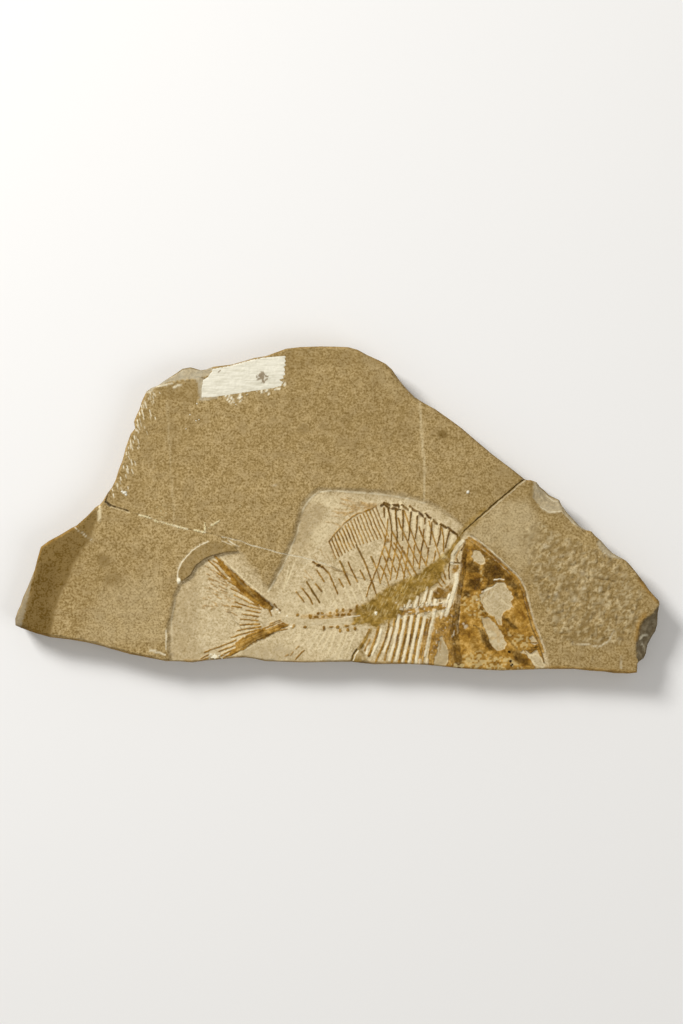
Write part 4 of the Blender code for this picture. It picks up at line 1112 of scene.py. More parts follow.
def stone_relief(x, y, rim_depth):
    """The bare stone's height over the underside, in millimetres, and how much of it is hollow."""
    face = THICKNESS / MM + 0.24 * (rough(x, y, 70, 7) - 0.6) + 0.12 * (rough(x, y, 22, 8) - 0.5)
    wander = 2.2 * (rough(x, y, 7, 17) - 0.5)
    hollow_depth = depth_inside(x, y, HOLLOW) + wander
    wall = wall_width(x, y)
    hollow = ease(hollow_depth, -0.75 * wall, 0.35 * wall)
    hollow = hollow * (1 - ease(depth_inside(x, y, TAB), -0.7, 0.7))
    floor_level = THICKNESS / MM - HOLLOW_DEPTH + 0.22 * (rough(x, y, 24, 9) - 0.5)
    height = face * (1 - hollow) + floor_level * hollow
    grain = (rough(x, y, 1.7, 10) - 0.5) + 0.9 * (rough(x, y, 4.2, 11) - 0.5)
    height += grain * (0.13 - 0.045 * hollow)
    pitted = ease(depth_inside(x, y, PITTED), -12, 8) * ease(rough(x, y, 34, 18), 0.15, 0.5)
    height -= pitted * (0.46 * worms(x, y, 3.4, 12) + 0.40 * ease(rough(x, y, 3.2, 13), 0.62, 0.85))
    height -= 0.10 * worms(x, y, 7.0, 19) * (1 - hollow) * ease(rough(x, y, 30, 22), 0.45, 0.7)
    for outline, step, slope in FLAKES:
        inward = depth_inside(x, y, outline) + 1.2 * (rough(x, y, 4, 23) - 0.5)
        height -= step * ease(inward, -0.5, 0.8) + slope * np.clip(inward, 0, FLAKE_REACH)
    bevel = bevel_width(x, y) * (0.55 + 0.9 * rough(x, y, 7, 14))
    drop = np.clip(1 - rim_depth / bevel, 0, 1)
    height -= (0.25 + 0.5 * rough(x, y, 9, 15)) * drop ** 0.7 + 1.9 * drop ** 2.2
    return height, hollow


print("stone shapes ready")

# %% [markdown]
# The rest of the stone's marks: the bruised edges, the flaked scars, the chipped corner, the lips of
# the two breaks, the tool's white dashes and the stains, with painted shade and painted highlights at
# steps, scars and pits. They are drawn with the same strokes as the bones. A scar is a shallow dish,
# so its depth is full at one edge and runs out at the other.

# %% Stone marks
LEFT_STAIN = [
    (20, 640), (14, 622), (33.5, 570), (38, 546), (70, 526), (95, 508), (99, 514), (93, 530), (90, 540),
    (81, 549), (79, 556), (74, 563), (70, 575), (65, 586), (59, 597), (57, 604), (53.6, 618), (50, 640),
]
DARK_STAIN = [
    (21, 628), (25, 612), (29, 597), (34, 580), (40, 564), (50, 560), (58, 566), (56, 584), (50, 600),
    (51, 618), (49, 640), (30, 640),
]
CHIP_BROWN = [
    (158, 390), (170, 385), (186, 382), (200, 381), (201, 398), (190, 403), (170, 399), (160, 396),
]
CHIP_TICKS = [[(164 + 4.6 * i, 382 - 1.1 * i), (176 + 4.6 * i, 377 - 1.1 * i)] for i in range(9)]
SIDE_STRIP = [
    (12, 629), (12, 618), (17, 603), (24, 586), (33, 572), (32, 580), (29, 594), (25, 611), (21, 627),
]
CHISEL = [
    (145, 402, 6), (142, 410, 6), (143, 417, 2), (155, 417, 2), (137, 420, 5), (136, 429, 2),
    (130, 440, 5), (133, 441, 2), (128, 447, 2), (132, 448, 2), (131, 460, 5), (127, 466, 4),
    (123, 466, 2), (128, 471, 2), (155, 467, 2), (120, 477, 3), (117, 484, 3), (128, 487, 2),
    (113, 494, 3), (112, 489, 2), (141, 405, 3), (139, 412, 3), (134, 436, 3), (126, 452, 3),
]
TICKS = 46
TICK_LINE = [(148, 392), (141, 404), (134, 430), (124, 455), (113, 488)]
DRIPS = [
    [(225, 394), (227, 398.6), (231, 404)], [(229, 394), (230, 397)],
    [(227, 397), (230, 396), (233, 401)], [(240, 393), (241, 400), (239.6, 402)],
    [(237, 397), (243, 399)], [(262, 390), (263, 395)], [(266, 388), (269, 394)],
    [(272, 388), (280, 389)], [(264, 391.6), (268, 390)], [(284, 381), (285.6, 386)],
    [(246, 393), (247, 395)],
]
STAIN_SPOTS = [
    (104, 560, 9, 0.4), (112, 580, 10, 0.3), (443, 434.6, 5.5, 0.95), (303, 429, 7, 0.4),
    (173, 655, 3, 0.4),
]
SCRATCHES = [
    ([(74.5, 527), (84, 534.6), (93, 541)], 0.9), ([(166, 630), (166, 650)], 1.6),
    ([(150, 650), (165, 655)], 2.4), ([(270, 486), (277, 486)], 1.1), ([(622, 654), (621.3, 667.6)], 1.0),
    ([(641.6, 643), (645, 647), (646, 652)], 1.8), ([(640.6, 639), (644, 635.4), (647.6, 635)], 2.4),
    ([(222, 541), (232, 545)], 0.9),
]
GOLDEN_EDGE = [
    [(20, 629), (50, 638), (85, 643), (110, 649.6), (130, 655), (150, 658.6)],
    [(285, 663), (330, 663), (350, 662)], [(352, 663.6), (400, 664), (440, 666), (470, 669), (540, 668)],
    [(37, 556), (41, 546), (60, 535), (76, 526)], [(186, 662), (205, 661), (240, 658), (262, 661)],
    [(545, 668), (590, 670), (635, 673)], [(640, 580), (650, 593), (658, 602)],
    [(645, 614), (640, 622), (636, 640)],
]
PALE_AREAS = [
    ([(303, 502), (318, 494), (338, 497), (346, 507), (335, 511), (320, 503)], 4, 0.5),
    ([(316, 524), (332, 518), (330, 536), (316, 546), (308, 542)], 5, 0.4),
    ([(462, 534), (500, 503), (528, 500), (540, 525), (536, 560), (520, 572), (500, 552)], 14, 0.30),
    ([(100, 590), (160, 570), (166, 640), (110, 644), (80, 636)], 20, 0.16),
    ([(280, 590), (330, 600), (350, 640), (345, 660), (280, 650)], 16, 0.18),
    ([(366, 350), (400, 388), (396, 400), (360, 360)], 8, 0.1),
]
SHADED_AREAS = [
    ([(290, 545), (298, 512), (311, 503), (325, 507), (322, 520), (311, 536), (300, 552)], 5, 0.26),
    ([(345, 486), (400, 490), (405, 497), (380, 500), (345, 494)], 4, 0.2),
    ([(215, 352), (300, 346), (380, 350), (384, 366), (300, 366), (215, 376)], 10, 0.20),
    ([(276, 562), (283, 560), (282, 570), (276, 571)], 3, 0.35),
    ([(268, 590), (272, 578), (276, 576), (273, 588)], 2.5, 0.25),
    ([(170, 640), (210, 646), (208, 660), (170, 662)], 12, 0.22),
    ([(236, 646), (280, 644), (300, 655), (280, 662), (240, 658)], 10, 0.28),
    ([(172, 592), (196, 586), (200, 606), (196, 654), (168, 654)], 8, 0.16),
]
# Strokes along the top of the hollow's wall: painted highlight that lightens the wall's shade.
HOLLOW_WALL_HIGHLIGHTS = [
    ([(268, 592), (274, 582), (282, 568), (290, 550), (297, 533), (300, 522)], 1.6, 0.5),
    ([(302, 512), (306, 504), (311, 497.6), (318, 492.4), (330, 490.6), (345, 491.6)], 1.8, 0.6),
    ([(345, 491.6), (366, 493), (392, 495.6), (410, 499), (425, 503)], 2.0, 0.45),
    ([(172, 640), (171, 620), (175, 600)], 1.4, 0.3),
]
PITS = [(605, 557.6), (610.4, 559), (615.4, 562), (549, 597), (555, 601), (566, 590), (603, 562)]
PALE_PITS = [(583, 573, 5), (584, 589, 2.4), (556, 594, 3), (575, 600, 3), (600, 590, 3), (545, 545, 4)]
RIGHT_LIP = [(571.5, 643.7), (584, 643.7), (598, 647), (609, 641), (613.6, 631)]
STONE_STROKES = [
    # Painted shade along the chipped corner's step.
    ([(158, 388), (170, 384), (190, 381)], 1.3, 1.2, 1.0, 0.3, dict(dark=0.35)),
    ([(200, 399.4), (208, 399), (217, 397.6)], 2.4, 1.4, 1.0, 0.2, dict(grey=0.5, dust=0.3)),
    ([(156, 386.4), (162, 385.6), (172, 383.4)], 2.0, 1.4, 1.0, 0.2, dict(dust=0.7)),
    ([(174.4, 387.4), (178, 385.4), (181, 386)], 2.4, 1.4, 0.9, 0.2, dict(dust=0.9, height=0.2)),
    # Painted shadow along the chip's upper step.
    ([(196, 377), (203, 377.4), (210, 376.6)], 1.3, 1.3, 1.0, dict(dark=0.7)),
    ([(645, 619), (641, 625), (638, 635), (636.8, 648)], 2.4, 2.0, 1.6, 0.2, dict(dark=0.5)),
    # Flake scars: the stain strokes are painted shade, the dust strokes painted highlights on lit lips.
    ([(532, 482), (531, 498), (539, 510), (549, 514.6), (560, 514)], 3.4, 2.6, 3.0, 0.3,
     dict(stain=0.5, depth=0.1)),
    ([(540, 507), (549, 512), (561, 511.4)], 1.2, 1.0, 0.8, 0.1, dict(dust=0.6)),
    ([(536.6, 486), (539, 494), (543, 499)], 1.6, 1.4, 1.0, 0.2, dict(dust=0.4)),
    ([(543, 490), (548, 497), (554, 501), (558, 502)], 1.4, 1.0, 0.9, 0.2, dict(dust=0.55)),
    ([(541, 492), (546, 499.6), (555, 504)], 1.6, 1.4, 1.2, 0.2, dict(stain=0.7, dark=0.15)),
    ([(562, 512), (574, 523.6), (584, 529.6)], 1.0, 0.9, 0.8, 0.4, dict(dust=0.5)),
    ([(598, 545), (604, 553), (618, 558)], 1.0, 0.9, 0.8, 0.4, dict(dust=0.5)),
    ([(572, 639), (574, 647)], 1.6, 1.2, 1.0, dict(dark=0.5, depth=0.35)),
    ([(592, 657), (593, 662)], 1.6, 1.2, 1.0, dict(dark=0.35)),
    ([(167, 402), (169, 440), (173, 500), (174, 527)], 2.4, 1.6, 1.6, 0.4, dict(pale=0.22)),
    ([(170, 402), (172, 440), (176, 500)], 3.5, 3.0, 2.5, 0.4, dict(stain=0.15)),
    ([(420, 403), (422, 440), (425, 470), (424, 500)], 2.0, 1.6, 1.4, 0.25, dict(pale=0.55, depth=0.06)),
]
STONE_PATCHES = [
    ([(195, 378), (204, 377), (204, 401), (199, 400), (198.6, 388)], 1.4, 0.15, 5,
     dict(grey=0.5, dust=0.25)),
    ([(99.3, 504.7), (101.6, 510), (101.8, 515), (99.6, 524), (97.6, 515), (98.2, 509)], 1.0,
     dict(pale=1.0, height=0.1)),
]
TAB_CHIP = (179, 580.6)


def stone_and_light_marks(face):
    """Stains, scars and lips of the stone itself, and painted shade and highlights at its steps."""
    for outline, soft, amount in PALE_AREAS:
        face.patch(outline, soft, 0.3, 9, pale=amount)
    for outline, soft, amount in SHADED_AREAS:
        face.patch(outline, soft, 0.4, 5, stain=amount)
    face.patch(LEFT_STAIN, 5.0, 0.2, 4, stain=0.95)
    face.patch(DARK_STAIN, 7, 0.15, 6, stain=1.08, dark=0.16)
    for x, y, size, amount in STAIN_SPOTS:
        face.spot(x, y, size, edge=0.45, stain=amount)
    face.line(closed(WHOLE_RIM), 2.6, 2.6, 2.0, 0.5, bone=0.3)
    face.lines(GOLDEN_EDGE, 4.6, 3.6, 2.6, 0.3, stain=0.4, bone=0.5)
    face.patch(CHIP, 1.2, 0.2, 6, grey=0.62, dust=0.28)
    face.each(face.line, STONE_STROKES)
    face.lines(CHIP_TICKS[::2], 1.2, 0.8, 0.9, 0.3, dark=0.45)
    face.lines(CHIP_TICKS[1::2], 1.2, 0.8, 0.9, 0.3, dust=0.35)
    face.each(face.patch, STONE_PATCHES)
    face.patch(CHIP_BROWN, 5.0, 0.35, 4, stain=0.36)
    face.patch(TIP_BREAK, 1.4, grey=1.0)
    face.patch(SIDE_STRIP, 1.0, dust=0.12, grey=0.5, stain=0.2)
    face.patch(TAB, 1.6, stain=0.3, height=0.22)
    # A painted highlight along the tab's lit outer edge and a painted shadow under its lower edge.
    face.line(TAB_LIT_EDGE, 1.1, 1.0, 0.9, 0.1, dust=0.7)
    face.spot(*TAB_CHIP, 2.6, 3.2, dust=1.0, height=0.25)
    face.line(TAB_SHADOW, 1.1, 0.8, 0.9, dark=0.55)
    for outline, *_ in FLAKES[:4]:
        face.patch(outline, 1.6, 0.2, 6, grey=0.30, dust=0.22)
    # Dark pits: partly dark specks, partly painted shade in the pits.
    for x, y in PITS:
        face.spot(x, y, 2.2, 1.8, dark=0.4, depth=0.35)
    for x, y, size in PALE_PITS:
        face.spot(x, y, size, edge=0.2, dust=0.8 / size, height=0.12)
    # Pale raised flecks and sunken brown ones: speckled colour, partly painted highlight and shade.
    face.flecks(PITTED, 2.2, 0.62, 51, pale=0.42, height=0.12)
    face.flecks(PITTED, 2.2, 0.62, 52, stain=0.6, depth=0.18)
    face.flecks(PITTED, 7.0, 0.55, 55, stain=0.25)
    face.line(RIGHT_LIP, 1.3, 1.1, 1.0, 0.15, dust=0.5)
    face.line([(x, y - 1.6) for x, y in RIGHT_LIP], 1.6, 1.6, 1.2, 0.2, stain=0.5, depth=0.25)
    # Painted highlight along the top of the hollow's wall.
    for line, width, amount in HOLLOW_WALL_HIGHLIGHTS:
        face.line(line, width, 0.7 * width, 1.2, 0.75, pale=amount, dust=0.6 * amount)
    for run, width in SCRATCHES:
        face.line(run, width, width * 0.8, 0.8, 0.2, dust=0.6)
    for x, y, length in CHISEL:
        face.line([(x, y), (x + 0.25 * length, y + length)], 0.9, 0.8, 0.7, 0.25, dust=0.95, depth=0.12)
    throw = np.random.default_rng(5)
    for i in range(TICKS):
        start, end = TICK_LINE[i % 4], TICK_LINE[i % 4 + 1]
        t, away, length = throw.random(), 1 + 12 * throw.random() ** 1.8, 1.4 + 3.0 * throw.random()
        x, y = start[0] + (end[0] - start[0]) * t + away, start[1] + (end[1] - start[1]) * t
        face.line([(x, y), (x + 0.35 * length, y + length)], 0.8, 0.7, 0.6, dust=0.3 + 0.5 * throw.random())
    face.lines(DRIPS, 1.3, 0.9, 0.8, 0.15, dust=1.15)


print(f"stone marks: {len(CHISEL) + TICKS} chisel marks and {len(DRIPS)} drips")

# %% [markdown]
# The breaks on the face. The long one on the left was filled with pale paste, which has dried to
# crumbs, and further on it closes to a hairline; its open start is painted shadow with a painted
# highlight on the lower lip. The one on the right is still open as a fine dark line of painted shadow
# with a painted highlight on its lower lip. Both run between fragments, so each lip is a stroke along
# that line.
# The last function lays all the marks in their order. The hollow is palest where the fish lies, and
# its floor is a little worn beyond it.

# %% Lips of the breaks
PASTE_RUNS = [
    ([(139, 515), (145, 516.4), (152, 518.4)], 1.3), ([(154, 520), (158, 522)], 1.2),
    ([(160, 521.6), (172, 525), (187, 529)], 1.6), ([(194, 530), (199, 531.4), (205, 532)], 1.4),
    ([(222, 537), (240, 540.6), (250, 545), (262, 548), (280, 553)], 0.9),
    ([(280, 553), (300, 557), (315, 561), (330, 566)], 0.8),
    ([(228, 540), (233, 543.6), (239, 546.6)], 1.0), ([(205, 523), (205, 530)], 1.0),
    ([(212, 525), (219, 521)], 1.0),
]
NOTCH = [(108.6, 491), (106.6, 496.6), (105.5, 500.5), (108, 504), (110, 505.6)]
LIP_STROKES = [
    ([(145, 515.4), (150, 516.4)], 1.1, 1.0, 0.8, dict(dark=0.7)),
    ([(520, 481), (506, 494), (492, 507), (480, 518), (466, 533)], 2.6, 5.0, 2.0, 0.6,
     dict(glue=0.45, stain=0.2)),
    ([(356.6, 650), (353, 655.6), (351, 663)], 1.6, 1.4, 0.9, dict(dark=1.0, depth=0.6)),
    ([(358, 651), (355, 656), (353, 661)], 1.2, 0.9, 0.8, 0.2, dict(dust=0.9)),
]
BREAK_FOOT_MARK = [(352, 660), (358, 659), (368, 662), (378, 665), (378, 672), (352, 672)]


def break_lips(face):
    """Paste, hairline and lips where the fragments meet, with painted shadow and highlights at open cracks.
    """
    for run, width in PASTE_RUNS[:4] + PASTE_RUNS[7:]:
        face.line(run, width, width, 0.8, 0.7, fresh=0.9, dust=0.6, height=0.22)
    for run, width in PASTE_RUNS[4:7]:
        face.line(run, width, width, 0.7, 0.45, dust=0.7)
    # The open notch and the start of the left break: painted shadow, and a painted highlight below.
    face.line(NOTCH, 1.5, 2.0, 0.8, dark=1.0, depth=1.0)
    face.line(BREAK_TAIL[1:3], 2.0, 1.4, 0.8, 0.15, dark=1.0, depth=1.0)
    face.line(BREAK_TAIL[2:5], 1.5, 1.0, 0.9, 0.3, dark=0.85, depth=0.5)
    face.line([(x + 0.6, y + 1.6) for x, y in BREAK_TAIL[1:5]], 1.0, 1.0, 0.9, 0.3, pale=0.7)
    face.each(face.line, LIP_STROKES)
    face.line(BREAK_TAIL[5:-1], 0.7, 0.6, 0.5, 0.4, dark=0.35, depth=0.1)
    face.line(BREAK_TAIL[17:22], 0.9, 0.8, 0.6, 0.2, dark=0.4, depth=0.12)
    # The open crack on the right: a dark line of painted shadow, and a painted highlight on its lower lip.
    face.line(BREAK_HEAD_HIGH[8:], 1.2, 1.1, 0.6, dark=1.1, depth=0.6)
    lit_lower_lip = [(x + 1.1, y + 1.3) for x, y in BREAK_HEAD_HIGH[10:]]
    face.line(lit_lower_lip, 0.9, 1.0, 0.8, 0.4, dust=0.4)
    face.patch(BREAK_FOOT_MARK, 2.0, 0.3, 3, dark=0.5, grey=0.5)


def dress(face, rim_depth, fish=True):
    """All the marks of a face, in the order in which they were laid down, and its final height."""
    height, hollow = stone_relief(face.x, face.y, rim_depth)
    stone_and_light_marks(face)
    if fish:
        for draw in (backbone, tail_fin, dorsal_fin, nape, ribs, head, glue):
            draw(face)
    break_lips(face)
    clean = ease(depth_inside(face.x, face.y, FISH), -6, 6)
    face.amounts["hollow"] = hollow * (WORN_FLOOR + (1 - WORN_FLOOR) * clean)
    lumps = 0.10 * (rough(face.x, face.y, 1.8, 53) - 0.5) + 0.16 * (rough(face.x, face.y, 3.9, 54) - 0.5)
    return height + face.amounts["height"] - face.amounts["depth"] + lumps * face.amounts["bone"]


print("marks ready")

# %% [markdown]
# Each fragment is a closed mesh whose upper side is a fine sheet. The sheet starts as a grid of
# 0.72 mm squares and is divided again to 0.24 mm wherever there is fine relief: on the fish, along
# the rim and along the breaks. Squares outside the outline are deleted, and what is left of the edge
# is pulled onto the outline. A grid keeps the squares even, which a filled outline wouldn't.

# %% The sheet
COARSE = 0.72 * MM
CUTS = 2
RIM_BAND, HOLLOW_BAND, BREAK_BAND = 4.5, 9.0, 5.0
FINE_AREAS = [
    CHIP, FLAKES[0][0], TAB,
    [(100, 500), (118, 455), (128, 405), (165, 385), (165, 425), (140, 470), (125, 500)],
]


def pixels(points):
    """Where points in metres lie in the photograph."""
    flat = np.array([(p[0], p[1]) for p in points])
    return flat[:, 0] / PIXEL + MIDDLE.x, MIDDLE.y - flat[:, 1] / PIXEL


def face_pixels(faces):
    """Where the middles of faces lie in the photograph."""
    return pixels([face.calc_center_median() for face in faces])


def needs_fine(x, y):
    """Where the relief is too fine for the coarse squares."""
    fine = rim_distance(x, y) < RIM_BAND
    fine |= depth_inside(x, y, HOLLOW) > -HOLLOW_BAND
    for line in (BREAK_TAIL, BREAK_HEAD_LOW, BREAK_HEAD_HIGH):
        fine |= nearest(x, y, line)[0] < BREAK_BAND
    for area in FINE_AREAS:
        fine |= inside(x, y, area)
    return fine


def drop_outside(bm, outline, margin):
    """Deletes the squares whose middles lie further than the margin outside the outline."""
    faces = list(bm.faces)
    away = depth_inside(*face_pixels(faces), outline) < -margin
    bmesh.ops.delete(bm, geom=[f for f, gone in zip(faces, away) if gone], context="FACES")


def drop_ragged(bm):
    """Deletes squares that hang on by one side or one corner, until the edge is one clean line."""
    while True:
        ragged = {f for f in bm.faces if sum(e.is_boundary for e in f.edges) > 2}
        for vert in bm.verts:
            if sum(e.is_boundary for e in vert.link_edges) > 2:
                ragged.update(vert.link_faces)
        if not ragged:
            return
        bmesh.ops.delete(bm, geom=list(ragged), context="FACES")


def snap_edge(bm, outline):
    """Pulls the sheet's edge onto the outline."""
    verts = [vert for vert in bm.verts if vert.is_boundary]
    x, y = pixels([vert.co for vert in verts])
    corners = np.array([p[:2] for p in closed(outline)])
    best = np.full(len(x), np.inf)
    found = np.zeros((len(x), 2))
    for a, b in zip(corners, corners[1:]):
        share = ((x - a[0]) * (b[0] - a[0]) + (y - a[1]) * (b[1] - a[1])) / ((b - a) ** 2).sum()
        t = np.clip(share, 0, 1)
        spot = a + t[:, None] * (b - a)
        away = np.hypot(x - spot[:, 0], y - spot[:, 1])
        found[away < best] = spot[away < best]
        best = np.minimum(best, away)
    for vert, (px, py) in zip(verts, found):
        vert.co.xy = place(px, py).xy


def sheet(outline, cell=COARSE, fine=needs_fine):
    """A flat sheet of small squares, trimmed to the outline."""
    corners = np.array([p[:2] for p in outline])
    low, high = corners.min(0), corners.max(0)
    columns, rows = (math.ceil(s * PIXEL / cell) + 2 for s in high - low)
    bm = bmesh.new()
    bmesh.ops.create_grid(bm, x_segments=columns, y_segments=rows, size=1.0)
    bmesh.ops.scale(bm, verts=bm.verts, vec=(columns * cell / 2, rows * cell / 2, 1))
    bmesh.ops.translate(bm, verts=bm.verts, vec=place(*((low + high) / 2), 0))
    drop_outside(bm, outline, cell / PIXEL)
    faces = list(bm.faces)
    if fine:
        chosen = fine(*face_pixels(faces))
        edges = {edge for face, yes in zip(faces, chosen) if yes for edge in face.edges}
        bmesh.ops.subdivide_edges(bm, edges=list(edges), cuts=CUTS, use_grid_fill=True)
    drop_outside(bm, outline, 0)
    drop_ragged(bm)
    snap_edge(bm, outline)
    return bm


print(f"squares of {COARSE / MM:.2f} and {COARSE / MM / (CUTS + 1):.2f} mm")

# %% [markdown]
# The sides are rough fracture. The sheet's edge is extruded down in a ring of short steps, each
# pushed in or out by random levels, so that the side looks broken and not sawn. Where two fragments
# meet, the sides go straight down and stay a hair apart. The underside is closed by one flat face,
# on which the slab lies.

# %% Sides and underside
SIDE_STEPS = 8
SIDE_ROUGHNESS = 0.55 * MM
UNDERCUT = 1.1 * MM
TEST_STEP = 0.4 * MM
GLUE_GAP = 0.02 * MM
SMOOTH_OVER = 4


def edge_loop(bm):
    """The vertices round the sheet's edge, in order."""
    start = next(vert for vert in bm.verts if vert.is_boundary)
    loop, before = [start], None
    while True:
        ends = [e.other_vert(loop[-1]) for e in loop[-1].link_edges if e.is_boundary]
        onward = ends[0] if ends[0] is not before else ends[1]
        if onward is start:
            return loop
        before = loop[-1]
        loop.append(onward)


def outward(flat):
    """The unit vectors that point out of a closed loop, smoothed along it, or 0 where they go astray."""
    along = np.roll(flat, -SMOOTH_OVER, 0) - np.roll(flat, SMOOTH_OVER, 0)
    out = np.stack([along[:, 1], -along[:, 0]], 1) / (np.linalg.norm(along, axis=1)[:, None] + 1e-12)
    onward = np.roll(flat, -1, 0)
    turn = (flat[:, 0] * onward[:, 1] - flat[:, 1] * onward[:, 0]).sum()
    out = out if turn > 0 else -out
    loop = list(zip(*pixels(flat)))
    astray = depth_inside(*pixels(flat - TEST_STEP * out), loop) < 0
    return out * np.where(astray, 0, 1)[:, None]


def extruded(bm, edges):
    """Extrudes edges without moving them yet, and gives the new vertices and the new edges."""
    made = bmesh.ops.extrude_edge_only(bm, edges=edges)["geom"]
    verts = [part for part in made if isinstance(part, bmesh.types.BMVert)]
    return verts, [part for part in made if isinstance(part, bmesh.types.BMEdge)]


def drop_sides(bm):
    """Extrudes the sheet's edge down to the underside and closes it there."""
    loop = edge_loop(bm)
    number = {vert: i for i, vert in enumerate(loop)}
    flat = np.array([vert.co.xy for vert in loop])
    tops = np.array([vert.co.z for vert in loop])
    out = outward(flat)
    x, y = pixels(flat)
    rim = 1 - ease(rim_distance(x, y), 0.3, 1.5)
    run = np.concatenate([[0], np.cumsum(np.linalg.norm(np.diff(flat, axis=0), axis=1))]) / PIXEL
    flat = flat - out * (GLUE_GAP * (1 - rim))[:, None]
    for vert, spot in zip(loop, flat):
        vert.co.xy = spot
    edges = [edge for edge in bm.edges if edge.is_boundary]
    for step in range(1, SIDE_STEPS + 1):
        share = step / SIDE_STEPS
        down = tops * (1 - share) / PIXEL
        bumps = 0.65 * rough(run, down, 7, 20) + 0.35 * rough(run, down, 2.6, 21)
        shift = -SIDE_ROUGHNESS * bumps * min(1, 3 * share) - UNDERCUT * ease(share, 0.65, 1.0)
        spots = flat + out * (shift * rim)[:, None]
        verts, edges = extruded(bm, edges)
        new = set(verts)
        for vert in verts:
            above = next(e.other_vert(vert) for e in vert.link_edges if e.other_vert(vert) not in new)
            number[vert] = number[above]
            i = number[vert]
            vert.co = (*spots[i], tops[i] * (1 - share))
    bmesh.ops.edgeloop_fill(bm, edges=edges)


def finished(name, bm, sharp_angle=40):
    """The mesh as an object at the origin, shaded smooth but for its sharp edges."""
    bmesh.ops.recalc_face_normals(bm, faces=bm.faces)
    made = added(name, bpy.data.meshes.new(name))
    bm.to_mesh(made.data)
    bm.free()
    made.data.shade_smooth()
    made.data.set_sharp_from_angle(angle=math.radians(sharp_angle))
    return made


print("sides ready")

# %% [markdown]
# Now the three fragments. The relief is worked out for all of a sheet's points in one go and set as
# their height. The finishes are kept as colour attributes, three in each, which the stone's material
# reads. The marks lie on the face alone, so they fade out just below it, and the broken sides keep
# little more than stain and grey.

# %% The three fragments
# The dark, pale, dust and stain finishes hold real colour and also painted shadows and highlights.
ATTRIBUTES = {
    "bone_and_shadow_marks": ("bone", "dark", "glue"),
    "stone_and_light_marks": ("hollow", "pale", "grey"),
    "loose_and_light_marks": ("dust", "stain", "fresh"),
}
SIDE_LEVELS = (11.6, 12.4)
MARKS_END = (11.5, 12.1)
FACE_ON_SIDE = 0.06
STAIN_LOST = 0.4
SIDE_GREY = 0.35


def relief_at(x, y, fish=True):
    """The height of the face, or of the bare stone, in metres, at pixels of the photograph."""
    return dress(Marks(x, y), rim_distance(x, y), fish) * MM


def lift(bm, level_at):
    """Lifts each vertex of a flat sheet to the height that a function gives for its place."""
    verts = list(bm.verts)
    levels = level_at(*pixels([vert.co for vert in verts]))
    for vert, level in zip(verts, levels):
        vert.co.z = level


def vertex_places(piece):
    """Where the vertices of a piece are, a row for each."""
    places = np.empty(len(piece.data.vertices) * 3)
    piece.data.vertices.foreach_get("co", places)
    return places.reshape(-1, 3)


def keep_finishes(piece):
    """Stores the amounts of each finish in the mesh."""
    places = vertex_places(piece)
    x, y = pixels(places)
    level = places[:, 2] / MM
    face = Marks(x, y)
    dress(face, rim_distance(x, y))
    side = 1 - ease(level, *SIDE_LEVELS)
    side_grey = SIDE_GREY * side * rough(x, places[:, 2] / PIXEL, 9, 30)
    face.amounts["grey"] = np.maximum(face.amounts["grey"], side_grey)
    face.amounts["hollow"] *= 1 - side
    below = 1 - ease(level, *MARKS_END)
    for name in ("bone", "dark", "glue", "dust", "fresh", "pale"):
        face.amounts[name] *= 1 - below * (1 - FACE_ON_SIDE)
    face.amounts["stain"] *= 1 - STAIN_LOST * below
    for name, channels in ATTRIBUTES.items():
        colours = np.ones((len(x), 4), np.float32)
        for i, channel in enumerate(channels):
            colours[:, i] = face.amounts[channel]
        made = piece.data.color_attributes.new(name, "FLOAT_COLOR", "POINT")
        made.data.foreach_set("color", colours.ravel())


fragments = {}
for node, (rim, breaks) in PIECES.items():
    bm = sheet(rim + breaks)
    lift(bm, relief_at)
    drop_sides(bm)
    piece = finished(node + "_stone", bm)
    keep_finishes(piece)
    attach(piece, "root")
    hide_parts(node)
    fragments[node] = piece
    print(f"{piece.name}: {len(piece.data.vertices)} vertices, {len(piece.data.polygons)} faces")

# %% [markdown]
# Shader sums. A material is a tree of nodes, and a sum of masks takes a node for each step. The
# small class below wraps one socket, so that the sums read as plain Python: masks are multiplied,
# added and taken away, and each operation adds its Math node. Colours are mixed by a Mix node, because a
# Math node would turn them grey.

